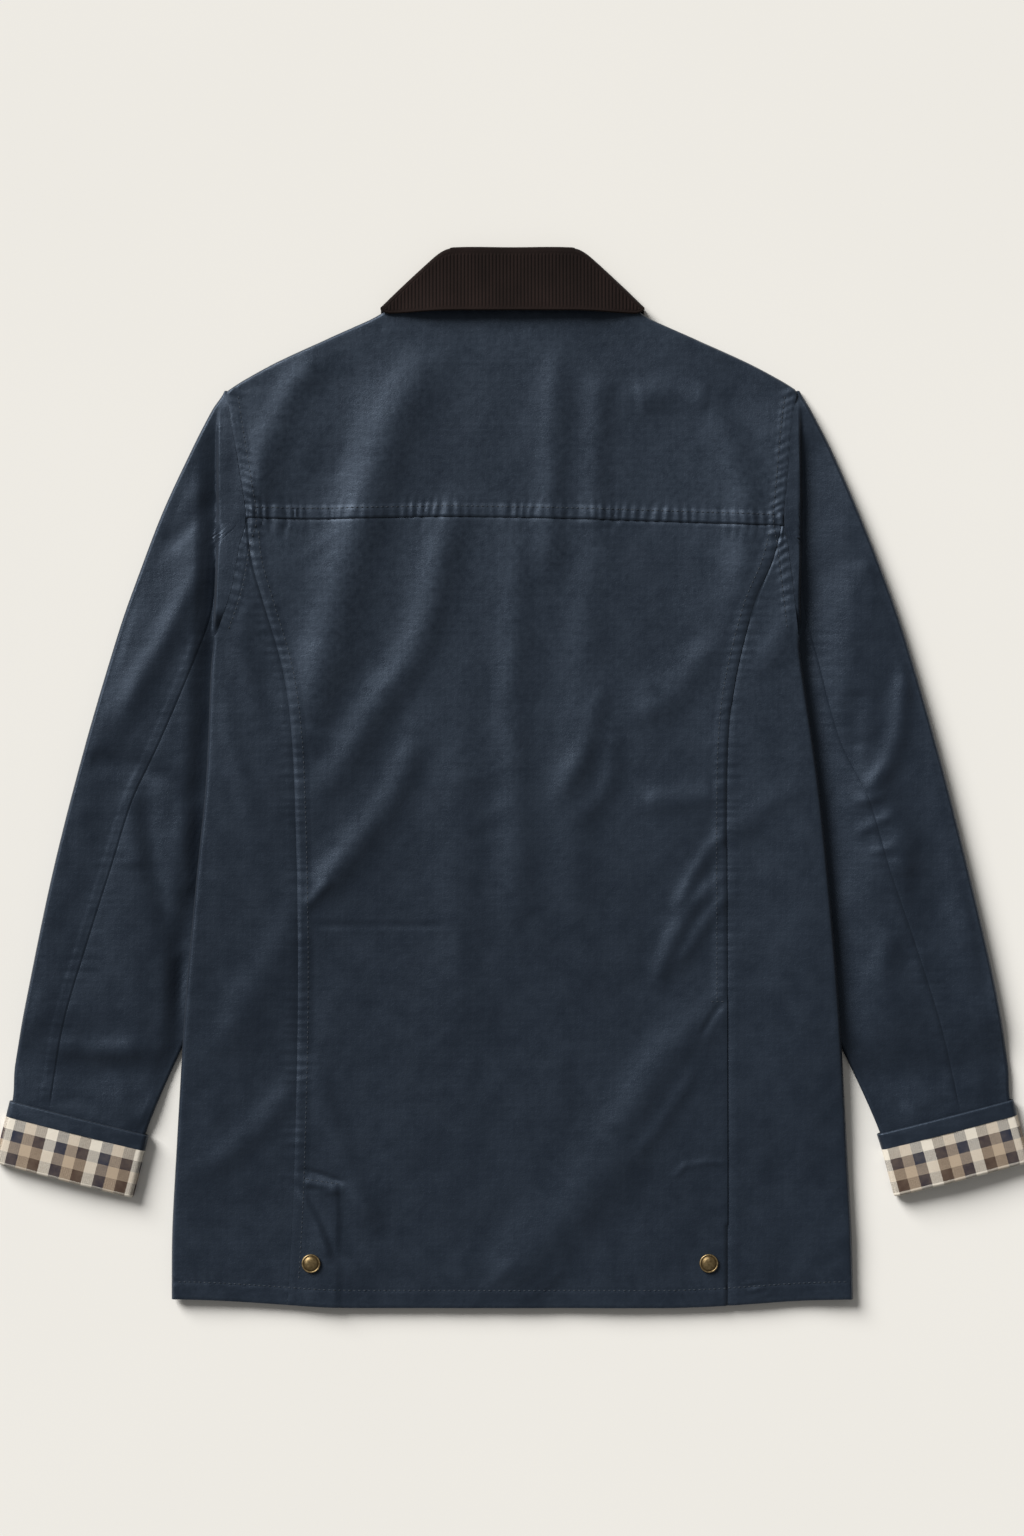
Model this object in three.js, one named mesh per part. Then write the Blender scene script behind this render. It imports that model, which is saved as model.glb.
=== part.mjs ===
// A waxed cotton jacket lying face down with its sleeves at its sides, in millimetres.
// X runs to the right, Y towards the collar and Z up; the origin is on the floor below the middle.
import * as THREE from 'three';
import { mergeVertices } from 'three/addons/utils/BufferGeometryUtils.js';

// Driving dimensions
const WALL = 1.6;
const SEAM = 0.3;
const FALL_WALL = 2.0;
const FACING_WALL = 1.2;
const EDGE_ROLL = 3.0;
const NEXT_LAYER = WALL + SEAM;

// Heights above the floor
const TUCK_TOP = 3.7;
const FRONT_OVER_TUCK = TUCK_TOP + SEAM;
const FRONT_OVER_LEAF = WALL + 0.5;
const BACK_TOP = 6.2;
const BACK_TOP_OVER_TUCK = 7.8;
const NECK_TOP = 7.4;
const SLEEVE_CROWN = 2.3;
const CUFF_LIFT = NEXT_LAYER;

// Lengths along the jacket
const HEM_SIDE = -417;
const HEM_MIDDLE = -424;
const TIP_Y = 310;
const UNDERARM_Y = 114;
const SEAM_ON_HEAD_Y = 195;
const SEAM_LEAVES_FOLD_Y = 136;

// Plan outlines, one row for each height y, for the wearer's left and right side
const BODY_EDGE = [
  { y: 306.5, left: -229, right: 227.5 },
  { y: 142.5, left: -236, right: 229 },
  { y: 114.5, left: -238, right: 229 },
  { y: 91, left: -241, right: 231.5 },
  { y: 0, left: -245, right: 244.5 },
  { y: -81.5, left: -253, right: 253 },
  { y: -177.5, left: -261.5, right: 261 },
  { y: -289.5, left: -268.5, right: 267.5 },
  { y: -361.5, left: -272.5, right: 271.5 },
  { y: -424, left: -273, right: 273 },
];
const HEAD_FOLD = [
  { y: 312, left: -229.5, right: 228.5 },
  { y: 294.5, left: -234.5, right: 229.5 },
  { y: 186.5, left: -235.5, right: 230 },
  { y: 142.5, left: -237, right: 229 },
  { y: 114.5, left: -239, right: 230.5 },
];
const ARMHOLE = [
  { y: 312, left: -228.5, right: 227.5 },
  { y: 286.5, left: -225, right: 223.5 },
  { y: 238.5, left: -217, right: 219 },
  { y: 206.5, left: -213, right: 216.5 },
  { y: 186.5, left: -218, right: 219.5 },
  { y: 150.5, left: -224.5, right: 224 },
  { y: 114.5, left: -236.5, right: 228 },
];
const SLEEVE_OUTER = [
  { y: 312, left: -230, right: 229 },
  { y: 306.5, left: -232.5, right: 232 },
  { y: 294.5, left: -240.5, right: 239 },
  { y: 262.5, left: -257, right: 255.5 },
  { y: 214.5, left: -279.5, right: 276.5 },
  { y: 166.5, left: -298, right: 295.5 },
  { y: 118.5, left: -315, right: 312.5 },
  { y: 22.5, left: -343, right: 340.5 },
  { y: -73.5, left: -367.5, right: 365 },
  { y: -169.5, left: -387.5, right: 387 },
  { y: -230, left: -398.5, right: 397 },
  { y: -257, left: -400.3, right: 398.6 },
  { y: -306, left: -411.5, right: 410.5 },
];
const SLEEVE_SEAM = [
  { y: 136, left: -240.5, right: 233.5 },
  { y: 101.5, left: -251.5, right: 243 },
  { y: 31, left: -281, right: 262 },
  { y: -16, left: -303, right: 284.5 },
  { y: -71, left: -320.5, right: 301 },
  { y: -129, left: -339, right: 321 },
  { y: -197.5, left: -359, right: 343 },
  { y: -267, left: -371, right: 359 },
  { y: -320, left: -379, right: 367 },
];
const SLEEVE_INNER = [
  { y: 110.5, left: -226, right: 218 },
  { y: 94.5, left: -200, right: 197 },
  { y: 70.5, left: -172, right: 170 },
  { y: 46.5, left: -159, right: 158 },
  { y: -1.5, left: -160.5, right: 159.5 },
  { y: -49.5, left: -178, right: 177 },
  { y: -97.5, left: -200.5, right: 199.5 },
  { y: -145.5, left: -227.5, right: 227 },
  { y: -216, left: -264.5, right: 263.5 },
  { y: -286, left: -294.2, right: 295 },
  { y: -333, left: -306.5, right: 308.5 },
];
const PRINCESS = [
  { y: 206.5, left: -212, right: 215.5 },
  { y: 174.5, left: -208.5, right: 207.5 },
  { y: 142.5, left: -199.5, right: 194 },
  { y: 91, left: -184.5, right: 180.5 },
  { y: 50.5, left: -178, right: 174 },
  { y: 0, left: -174.5, right: 171.5 },
  { y: -151, left: -171.5, right: 171.5 },
  { y: -321, left: -175, right: 172 },
  { y: -424, left: -180.5, right: 172 },
];
const YOKE_SEAM = [
  { x: -214, y: 208 },
  { x: -148.5, y: 207 },
  { x: -63, y: 209 },
  { x: 23, y: 208 },
  { x: 108.5, y: 205.5 },
  { x: 217, y: 201.5 },
];
const SHOULDER = [
  { x: -228.5, y: 310 },
  { x: -215.5, y: 318.5 },
  { x: -186, y: 334.5 },
  { x: -115, y: 366.5 },
  { x: -92, y: 377 },
  { x: 0, y: 379 },
  { x: 92, y: 377 },
  { x: 112.5, y: 366.5 },
  { x: 184.5, y: 334.5 },
  { x: 215, y: 318.5 },
  { x: 228.5, y: 310 },
];
const FRONT_NECK = [
  { x: 0, y: 338 },
  { x: 35, y: 345 },
  { x: 70, y: 362 },
  { x: 96, y: 374 },
];
const COLLAR_TOP = [
  { x: 0, y: 424.5 },
  { x: 46, y: 424.5 },
  { x: 55, y: 422 },
  { x: 64, y: 414 },
  { x: 105, y: 375 },
  { x: 108, y: 371.5 },
];

// The largest folds of the back: a smooth ridge (or trough, with a minus sign) along a few points
const FOLDS = [
  { rise: 2.2, wide: 17, path: [[-78, 358], [-114, 302], [-142, 230], [-150, 174], [-162, 70]] },
  { rise: -1.0, wide: 14, path: [[-62, 330], [-84, 240], [-112, 150], [-140, 66]] },
  { rise: 1.8, wide: 13, path: [[-50, 240], [-66, 160], [-90, 102], [-114, 46], [-160, -13]] },
  { rise: 1.4, wide: 11, path: [[-80, 82], [-94, -2], [-122, -26], [-160, -80]] },
  { rise: 1.2, wide: 20, path: [[-12, 190], [-8, 90], [-12, -20]] },
  { rise: -0.9, wide: 15, path: [[-40, 190], [-44, 110], [-50, 20]] },
  { rise: 1.3, wide: 14, path: [[58, 82], [46, 44], [26, 4]] },
  { rise: 1.4, wide: 13, path: [[76, 60], [74, -2], [50, -34]] },
  { rise: 1.3, wide: 13, path: [[166, -50], [140, -86], [116, -160]] },
  { rise: 1.2, wide: 16, path: [[138, -190], [100, -222], [78, -262]] },
  { rise: 1.2, wide: 20, path: [[-166, -246], [-146, -300], [-122, -360]] },
  { rise: -0.9, wide: 14, path: [[-142, -236], [-120, -300], [-98, -360]] },
  { rise: 1.6, wide: 20, path: [[160, 310], [164, 250], [158, 190]] },
  { rise: -0.9, wide: 18, path: [[50, 350], [50, 210]] },
  { rise: 1.0, wide: 22, path: [[12, 350], [4, 230]] },
  { rise: 1.0, wide: 18, path: [[-200, 300], [-192, 240], [-200, 160], [-216, 60]] },
  { rise: 1.0, wide: 18, path: [[214, 280], [206, 170], [216, 40], [232, -60]] },
];

// Small parts
const STUD = { radius: 7.5, height: 3.2, rim: 0.9, left: [-161, -388], right: [157, -388] };
const VENTS = [
  { name: 'left', seam: -176, edge: -138, top: -328 },
  { name: 'right', seam: 172, edge: 133, top: -313 },
];
const CUFFS = {
  left: {
    bandTop: [[-402.5, -258], [-291, -286]],
    bandBottom: [[-405.5, -270.3], [-294, -298.3]],
    fold: [[-415, -307.5], [-303.5, -336]],
  },
  right: {
    bandTop: [[401, -257], [291.5, -285]],
    bandBottom: [[404, -269.3], [295.5, -297.3]],
    fold: [[414.5, -307], [305.5, -335]],
  },
};
const WALE = { pitch: 3.2, height: 0.5 };

const COLOURS = { cloth: 0x27303b, cord: 0x261d1a, check: 0xa99a86, brass: 0x8c713f };

const clamp = (value, low, high) => Math.min(high, Math.max(low, value));
const lerp = (a, b, t) => a + (b - a) * t;
const spread = (count) => Array.from({ length: count + 1 }, (unused, index) => index / count);

function smooth(t) {
  const c = clamp(t, 0, 1);
  return c * c * (3 - 2 * c);
}

// A smooth curve through a table, read at one named column
function curve(rows, input, output) {
  const sorted = [...rows].sort((a, b) => a[input] - b[input]);
  const at = sorted.map((row) => row[input]);
  const to = sorted.map((row) => row[output]);
  const last = at.length - 1;
  const slopes = at.map((unused, i) => {
    const low = Math.max(0, i - 1);
    const high = Math.min(last, i + 1);
    return (to[high] - to[low]) / (at[high] - at[low]);
  });
  return (value) => {
    const v = clamp(value, at[0], at[last]);
    let i = 0;
    while (i < last - 1 && v > at[i + 1]) {
      i += 1;
    }
    const span = at[i + 1] - at[i];
    const t = (v - at[i]) / span;
    const h = t * t * (3 - 2 * t);
    const bend = t * (1 - t) * span;
    return lerp(to[i], to[i + 1], h) + bend * (slopes[i] * (1 - t) - slopes[i + 1] * t);
  };
}

const sided = (rows) => ({ left: curve(rows, 'y', 'left'), right: curve(rows, 'y', 'right') });
const bodyEdge = sided(BODY_EDGE);
const headFold = sided(HEAD_FOLD);
const armhole = sided(ARMHOLE);
const sleeveOuter = sided(SLEEVE_OUTER);
const sleeveSeam = sided(SLEEVE_SEAM);
const sleeveInner = sided(SLEEVE_INNER);
const princess = sided(PRINCESS);
const yokeSeamY = curve(YOKE_SEAM, 'x', 'y');
const shoulderY = curve(SHOULDER, 'x', 'y');
const frontNeckY = curve(FRONT_NECK, 'x', 'y');
const collarTopY = curve(COLLAR_TOP, 'x', 'y');
const sideOf = (x) => (x < 0 ? 'left' : 'right');

function hemY(x) {
  return lerp(HEM_MIDDLE, HEM_SIDE, smooth((Math.abs(x) - 120) / 150));
}

function distanceToPath(x, y, path) {
  let best = Infinity;
  for (let i = 0; i + 1 < path.length; i += 1) {
    const [ax, ay] = path[i];
    const dx = path[i + 1][0] - ax;
    const dy = path[i + 1][1] - ay;
    const t = clamp(((x - ax) * dx + (y - ay) * dy) / (dx * dx + dy * dy), 0, 1);
    best = Math.min(best, Math.hypot(x - ax - dx * t, y - ay - dy * t));
  }
  return best;
}

function foldsAt(x, y) {
  return FOLDS.reduce((sum, fold) => {
    const away = distanceToPath(x, y, fold.path) / fold.wide;
    return sum + fold.rise * Math.exp(-away * away);
  }, 0);
}

// How far the sleeve that is tucked under the body lifts what lies on it, from 0 to 1
function tuckCover(x, y, margin, ramp) {
  const side = sideOf(x);
  const inner = sleeveInner[side](Math.min(y, 112));
  const inside = Math.min((Math.abs(x) - Math.abs(inner)) * 0.8, UNDERARM_Y + 14 - y);
  return smooth((inside + margin + ramp) / ramp);
}

// The same for a collar leaf under a front
function leafCover(x, y) {
  const across = Math.min(Math.abs(x) - 44, 140 - Math.abs(x));
  const inside = Math.min(across, y - leafEdgeY(Math.abs(x)) + 26);
  return smooth((inside + 14) / 12);
}

// The lower edge of a collar leaf, from its point out to the collar's corner
function leafEdgeY(x) {
  return lerp(306, 371.5, clamp((x - 40) / 68, 0, 1));
}

function frontBottom(x, y, laps) {
  const lap = laps ? NEXT_LAYER * (1 - smooth((x - 28) / 14)) : 0;
  const overTuck = FRONT_OVER_TUCK * tuckCover(x, y, 20, 16);
  return Math.max(lap, overTuck, FRONT_OVER_LEAF * leafCover(x, y));
}

function frontTop(x, y) {
  return frontBottom(x, y, x > -14) + WALL;
}

function neckRise(x, y) {
  const away = Math.hypot(Math.max(0, Math.abs(x) - 90), Math.max(0, 372 - y));
  return smooth(1 - away / 70);
}

// The outer surface of the back, shared by the yoke, the panels and the sleeve heads
function backTop(x, y) {
  const tucked = tuckCover(x, y, 34, 40);
  const neck = neckRise(x, y);
  const base = Math.max(lerp(BACK_TOP, BACK_TOP_OVER_TUCK, tucked), lerp(BACK_TOP, NECK_TOP, neck));
  const atHem = smooth((y - HEM_MIDDLE) / 40);
  const folded = base + foldsAt(x, y) * (1 - neck) * (0.4 + 0.6 * atHem);
  return Math.max(folded, frontTop(x, y) + SEAM + WALL, base - 1);
}

// Triangles between two rows of points, which may have different counts
function band(triangles, a, b) {
  let i = 0;
  let j = 0;
  while (i < a.length - 1 || j < b.length - 1) {
    const nextA = i < a.length - 1 ? (i + 0.5) / (a.length - 1) : 2;
    const nextB = j < b.length - 1 ? (j + 0.5) / (b.length - 1) : 2;
    if (nextA <= nextB) {
      triangles.push(a[i], a[i + 1], b[j]);
      i += 1;
    } else {
      triangles.push(a[i], b[j + 1], b[j]);
      j += 1;
    }
  }
}

function geometryFrom(triangles) {
  const positions = [];
  for (let i = 0; i < triangles.length; i += 3) {
    const [a, b, c] = triangles.slice(i, i + 3);
    const across = b.clone().sub(a).cross(c.clone().sub(a)).length();
    if (across > 1e-5) {
      positions.push(...a.toArray(), ...b.toArray(), ...c.toArray());
    }
  }
  const geometry = new THREE.BufferGeometry();
  geometry.setAttribute('position', new THREE.Float32BufferAttribute(positions, 3));
  const merged = mergeVertices(geometry, 1e-3);
  return signedVolume(merged) < 0 ? turnedInsideOut(merged) : merged;
}

function signedVolume(geometry) {
  const at = geometry.getAttribute('position');
  const index = geometry.getIndex();
  const corner = (i) => new THREE.Vector3().fromBufferAttribute(at, index.getX(i));
  let volume = 0;
  for (let i = 0; i < index.count; i += 3) {
    volume += corner(i).dot(corner(i + 1).cross(corner(i + 2))) / 6;
  }
  return volume;
}

function turnedInsideOut(geometry) {
  const index = geometry.getIndex().array;
  for (let i = 0; i < index.length; i += 3) {
    [index[i], index[i + 1]] = [index[i + 1], index[i]];
  }
  return geometry;
}

// A closed wall from a grid of stations: outer and inner points, with cells left out by a mask
function wallGeometry(outer, inner, options = {}) {
  const rows = outer.length - 1;
  const columns = outer[0].length - 1;
  const mask = options.present ?? (() => true);
  const present = (r, c) => r >= 0 && c >= 0 && r < rows && c < columns && mask(r, c);
  const outerSkipped = options.outerSkipped ?? (() => false);
  const firstRimSkipped = options.firstRimSkipped ?? false;
  const triangles = options.extra ? [...options.extra] : [];
  const quad = (a, b, c, d) => triangles.push(a, b, c, a, c, d);
  for (let r = 0; r < rows; r += 1) {
    for (let c = 0; c < columns; c += 1) {
      if (!present(r, c)) {
        continue;
      }
      const [a, b, d, e] = [outer[r][c], outer[r][c + 1], outer[r + 1][c + 1], outer[r + 1][c]];
      const [p, q, s, t] = [inner[r][c], inner[r][c + 1], inner[r + 1][c + 1], inner[r + 1][c]];
      if (!outerSkipped(r)) {
        quad(a, b, d, e);
      }
      quad(p, t, s, q);
      if (!present(r - 1, c) && !(firstRimSkipped && r === 0)) {
        quad(a, p, q, b);
      }
      if (!present(r + 1, c)) {
        quad(e, d, s, t);
      }
      if (!present(r, c - 1)) {
        quad(a, e, t, p);
      }
      if (!present(r, c + 1)) {
        quad(b, q, s, d);
      }
    }
  }
  return geometryFrom(triangles);
}

const point = (x, y, z) => new THREE.Vector3(x, y, z);

// A mesh with its own plain material
function piece(name, geometry, colour, roughness = 0.55, metalness = 0) {
  const material = new THREE.MeshStandardMaterial({ color: colour, roughness, metalness });
  const mesh = new THREE.Mesh(geometry, material);
  mesh.name = name;
  return mesh;
}

// A rolled edge: how far in from the edge and how far down each point of the roll lies
function rollStation(angle, top, end) {
  const outer = { inset: EDGE_ROLL * (1 - Math.cos(angle)), z: top - (top - end) * (1 - Math.sin(angle)) };
  const under = Math.max(top - WALL, end);
  const inner = {
    inset: outer.inset + WALL * Math.cos(angle),
    z: under - (under - end) * (1 - Math.sin(angle)),
  };
  return { outer, inner };
}

const ROLL_ANGLES = [0, Math.PI / 4, Math.PI / 2];

function backYoke() {
  const columns = spread(26);
  const rows = [0.12, 0.27, 0.42, 0.57, 0.72, 0.87, 1];
  const outer = [];
  const inner = [];
  const place = (u, v) => {
    const y = lerp(TIP_Y, lerp(yokeSeamY(-214), yokeSeamY(217), u), v);
    const x = lerp(armhole.left(y) + SEAM / 2, armhole.right(y) - SEAM / 2, u);
    const top = u === 0 || u === 1 ? TIP_Y : shoulderY(x);
    return { x, y: lerp(top, yokeSeamY(x) + SEAM / 2, v) };
  };
  ROLL_ANGLES.forEach((angle) => {
    const outerRow = [];
    const innerRow = [];
    columns.forEach((u) => {
      const at = place(u, 0);
      const top = backTop(at.x, at.y);
      const rolled = smooth((Math.abs(at.x) - 92) / 16);
      const end = lerp(top - WALL, frontTop(at.x, at.y) + SEAM, rolled);
      const station = rollStation(angle, top, end);
      outerRow.push(point(at.x, at.y - station.outer.inset, lerp(top, station.outer.z, rolled)));
      innerRow.push(point(at.x, at.y - lerp(station.outer.inset, station.inner.inset, rolled), station.inner.z));
    });
    outer.push(outerRow);
    inner.push(innerRow);
  });
  rows.forEach((v) => {
    const across = columns.map((u) => place(u, v));
    outer.push(across.map((at) => point(at.x, at.y, backTop(at.x, at.y))));
    inner.push(across.map((at) => point(at.x, at.y, backTop(at.x, at.y) - WALL)));
  });
  return piece('back_yoke', wallGeometry(outer, inner), COLOURS.cloth);
}

const YOKE_END = { left: yokeSeamY(-214), right: yokeSeamY(217) };
const PANEL_ROWS = spread(24);
const panelRowY = (side, v) => lerp(YOKE_END[side], HEM_SIDE, v);
const panelY = (x, v) => lerp(yokeSeamY(x) - SEAM / 2, hemY(x), v);

function panelPoints(xAt, columns) {
  const rows = PANEL_ROWS.map((v) => columns.map((u) => {
    const x = xAt(u, v);
    return { x, y: panelY(x, v) };
  }));
  return {
    outer: rows.map((row) => row.map(({ x, y }) => point(x, y, backTop(x, y)))),
    inner: rows.map((row) => row.map(({ x, y }) => point(x, y, backTop(x, y) - WALL))),
  };
}

function backCentre() {
  const xAt = (u, v) => {
    const left = princess.left(panelRowY('left', v)) + SEAM / 2;
    const right = princess.right(panelRowY('right', v)) - SEAM / 2;
    return lerp(left, right, u);
  };
  const { outer, inner } = panelPoints(xAt, spread(26));
  return piece('back_centre', wallGeometry(outer, inner), COLOURS.cloth);
}

// The side panel rolls over at its outer edge, down to the front that it is sewn to
function backSide(side) {
  const sign = side === 'left' ? 1 : -1;
  const rollShare = (y) => 1 - smooth((y - 96) / 22);
  const edgeX = (y) => (y > UNDERARM_Y ? armhole[side](y) + sign * SEAM / 2 : bodyEdge[side](y));
  const columns = [0.28, 0.52, 0.76, 1];
  const outer = [];
  const inner = [];
  PANEL_ROWS.forEach((v) => {
    const y0 = panelRowY(side, v);
    const edge = edgeX(y0);
    const seam = princess[side](y0) - sign * SEAM / 2;
    const width = Math.abs(seam - edge);
    const roll = rollShare(y0);
    const squeeze = clamp(width / 20, 0.05, 1);
    const outerRow = [];
    const innerRow = [];
    ROLL_ANGLES.forEach((angle) => {
      const flatX = edge + sign * EDGE_ROLL * (1 - Math.cos(angle)) * squeeze;
      const y = panelY(flatX, v);
      const top = backTop(flatX, y);
      const station = rollStation(angle, top, lerp(top - WALL, frontTop(flatX, y) + SEAM, roll));
      outerRow.push(point(edge + sign * station.outer.inset * squeeze, y, lerp(top, station.outer.z, roll)));
      const innerInset = lerp(station.outer.inset, station.inner.inset, roll);
      innerRow.push(point(edge + sign * innerInset * squeeze, y, station.inner.z));
    });
    columns.forEach((u) => {
      const start = edge + sign * EDGE_ROLL * squeeze;
      const x = lerp(start, seam, u);
      const y = panelY(x, v);
      outerRow.push(point(x, y, backTop(x, y)));
      innerRow.push(point(x, y, backTop(x, y) - WALL));
    });
    outer.push(outerRow);
    inner.push(innerRow);
  });
  return piece(`back_side_${side}`, wallGeometry(outer, inner), COLOURS.cloth);
}

// A front lies on the floor, over the collar leaf and over the tucked part of the sleeve
function front(side) {
  const laps = side === 'right';
  const sign = side === 'left' ? 1 : -1;
  const centreX = sign * 12;
  const edgeX = (y) => (y > UNDERARM_Y ? armhole[side](y) + sign * SEAM : bodyEdge[side](y) + sign * 1.5);
  const rows = spread(22);
  const columns = [0, 0.06, 0.13, 0.2, 0.28, 0.36, 0.44, 0.53, 0.62, 0.72, 0.81, 0.88, 0.94, 1];
  const neckY = (x) => (Math.abs(x) < 96 ? frontNeckY(Math.abs(x)) : shoulderY(x) - 1);
  const outer = [];
  const inner = [];
  rows.forEach((v) => {
    const y0 = lerp(TIP_Y - 1, HEM_SIDE + 2, v);
    const row = columns.map((u) => {
      const x = lerp(edgeX(y0), centreX, u);
      const top = u === 0 ? y0 : lerp(neckY(x), hemY(x) + 2, v);
      return { x, y: lerp(top, y0, v * v) };
    });
    outer.push(row.map(({ x, y }) => point(x, y, frontBottom(x, y, laps))));
    inner.push(row.map(({ x, y }) => point(x, y, frontBottom(x, y, laps) + WALL)));
  });
  return piece(`front_${side}`, wallGeometry(outer, inner), COLOURS.cloth);
}

// Sleeve stations: the height y at the outer edge and at the inner edge of each
const STATIONS = [
  { outer: 303, inner: 303 },
  { outer: 294, inner: 294 },
  { outer: 280, inner: 280 },
  { outer: 264, inner: 264 },
  { outer: 242, inner: 242 },
  { outer: 218, inner: 218 },
  { outer: SEAM_ON_HEAD_Y, inner: SEAM_ON_HEAD_Y },
  { outer: 176, inner: 176 },
  { outer: 156, inner: 156 },
  { outer: SEAM_LEAVES_FOLD_Y, inner: SEAM_LEAVES_FOLD_Y },
  { outer: 124, inner: 124 },
  { outer: 110, inner: 110 },
  { outer: 92, inner: 92 },
  { outer: 70, inner: 70 },
  { outer: 44, inner: 44 },
  { outer: 14, inner: 14 },
  { outer: -18, inner: -18 },
  { outer: -52, inner: -52 },
  { outer: -88, inner: -88 },
  { outer: -122, inner: -124 },
  { outer: -152, inner: -158 },
  { outer: -180, inner: -190 },
  { outer: -206, inner: -220 },
  { outer: -228, inner: -248 },
  { outer: -244, inner: -268 },
  { outer: -258, inner: -285 },
  { outer: -280, inner: -309 },
  { outer: -301, inner: -328.5 },
];
const HEAD_ROW = STATIONS.findIndex((row) => row.outer === SEAM_ON_HEAD_Y);
const LEAVING_ROW = STATIONS.findIndex((row) => row.outer === SEAM_LEAVES_FOLD_Y);
const CLOSED_ROW = STATIONS.findIndex((row) => row.outer < UNDERARM_Y);
const HALF_TURN = [Math.PI / 2, Math.PI / 4, 0, -Math.PI / 4, -Math.PI / 2];
const SLEEVE_ROLL = 3.2;

// One station of a sleeve, in plan and height
function sleeveStation(side, row) {
  const { outer: outerY, inner: innerY } = STATIONS[row];
  const closed = row >= CLOSED_ROW;
  const start = point(sleeveOuter[side](outerY), outerY, 0);
  const endX = closed ? sleeveInner[side](innerY) : armhole[side](innerY);
  const outward = side === 'left' ? -1 : 1;
  const end = point(closed ? endX : endX + outward * 2 * SEAM, innerY, 0);
  const width = start.distanceTo(end);
  const along = end.clone().sub(start).normalize();
  const lift = CUFF_LIFT * smooth((-215 - outerY) / 30);
  const at = (p, z) => point(start.x + along.x * p, start.y + along.y * p, z);
  const reach = (x) => clamp(Math.abs(x - start.x) / Math.abs(along.x), 0, width);
  const fold = closed ? reach(bodyEdge[side](lerp(outerY, innerY, 0.8))) : reach(headFold[side](outerY));
  const drawnSeam = reach(sleeveSeam[side](lerp(outerY, innerY, 0.25)));
  const seam = row < LEAVING_ROW ? fold - 0.6 : Math.min(drawnSeam, fold - 2);
  const bottomSeam = lerp(0.62, 0.42, smooth((110 - outerY) / 300)) * width;
  return { closed, width, lift, at, fold, seam, bottomSeam, start };
}

// The height of the sleeve's upper layer at a distance p in from its outer edge
function sleeveTop(station, p) {
  const place = station.at(p, 0);
  const outboard = station.fold - p;
  const inCuff = 1 - 0.5 * smooth((-215 - place.y) / 30);
  const crown = SLEEVE_CROWN * inCuff * (0.4 + 0.6 * smooth(p / 26));
  const low = TUCK_TOP + crown * smooth(outboard / 14);
  if (station.closed) {
    return low + station.lift;
  }
  const head = backTop(place.x, place.y);
  const stepDown = smooth((station.fold - 1) / 34);
  return lerp(head, low, stepDown);
}

// Paired points of a sleeve wall: on the upper layer, round an edge, or on the lower layer
function sleevePairs(station) {
  const { at, width, lift } = station;
  const edgeHeight = sleeveTop(station, SLEEVE_ROLL) - lift;
  const upper = (p, z = sleeveTop(station, p), shift = 0) => ({
    outer: at(p, z),
    inner: at(p + shift, z - WALL),
  });
  const lower = (p) => ({ outer: at(p, lift), inner: at(p, lift + WALL) });
  const turn = (angle, height, atEnd) => {
    const inset = SLEEVE_ROLL * (1 - Math.cos(angle));
    const innerInset = WALL + (SLEEVE_ROLL - WALL) * (1 - Math.cos(angle));
    const middle = lift + height / 2;
    const place = (amount) => (atEnd ? width - amount : amount);
    return {
      outer: at(place(inset), middle + (height / 2) * Math.sin(angle)),
      inner: at(place(innerInset), middle + (height / 2 - WALL) * Math.sin(angle)),
    };
  };
  return { upper, lower, turn, edgeHeight };
}

// The head strip of a sleeve: from the armhole out to the fold where it steps down
function headColumns(station, pairs) {
  const { fold, width, at, closed } = station;
  const place = at(fold, 0);
  const sunk = smooth((station.start.y - 124) / 14);
  const head = closed ? TUCK_TOP : lerp(TUCK_TOP, backTop(place.x, place.y), sunk);
  const stripTop = (p) => {
    const spot = at(p, 0);
    return lerp(TUCK_TOP, backTop(spot.x, spot.y), sunk);
  };
  const top = Math.min(fold + 1.2, width - 1.4);
  const middle = lerp(top, width, 0.5);
  return [
    pairs.upper(width, stripTop(width)),
    pairs.upper(middle, stripTop(middle)),
    pairs.upper(top, head, Math.min(0.8, (width - top) * 0.2)),
  ];
}

function sleeveUpperPiece(side) {
  const grid = STATIONS.map((unused, row) => {
    const station = sleeveStation(side, row);
    const pairs = sleevePairs(station);
    const onHead = row <= HEAD_ROW;
    const edge = onHead ? station.fold : station.seam - SEAM / 2;
    const head = onHead ? headColumns(station, pairs) : [1, 1, 1].map(() => pairs.upper(edge));
    if (row === HEAD_ROW) {
      head.forEach((pair) => [pair.outer, pair.inner].forEach((corner) => { corner.y += SEAM / 2; }));
    }
    const start = onHead ? edge - 0.4 : edge;
    const low = [1, 0.7, 0.35].map((share) => pairs.upper(lerp(SLEEVE_ROLL, start, share)));
    const turned = HALF_TURN.map((angle) => pairs.turn(angle, pairs.edgeHeight, false));
    const seam = station.bottomSeam - SEAM / 2;
    const bottom = [0.5, 1].map((share) => pairs.lower(lerp(SLEEVE_ROLL, seam, share)));
    const toArmhole = [pairs.lower(onHead ? station.width : seam + 1)];
    return [...head, ...low, ...turned, ...bottom, ...toArmhole];
  });
  const lastColumn = grid[0].length - 2;
  const present = (r, c) => (r < HEAD_ROW ? true : c >= 3 && c < lastColumn);
  const outer = grid.map((row) => row.map((pair) => pair.outer));
  const inner = grid.map((row) => row.map((pair) => pair.inner));
  return piece(`sleeve_${side}_top`, wallGeometry(outer, inner, { present }), COLOURS.cloth);
}

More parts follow.
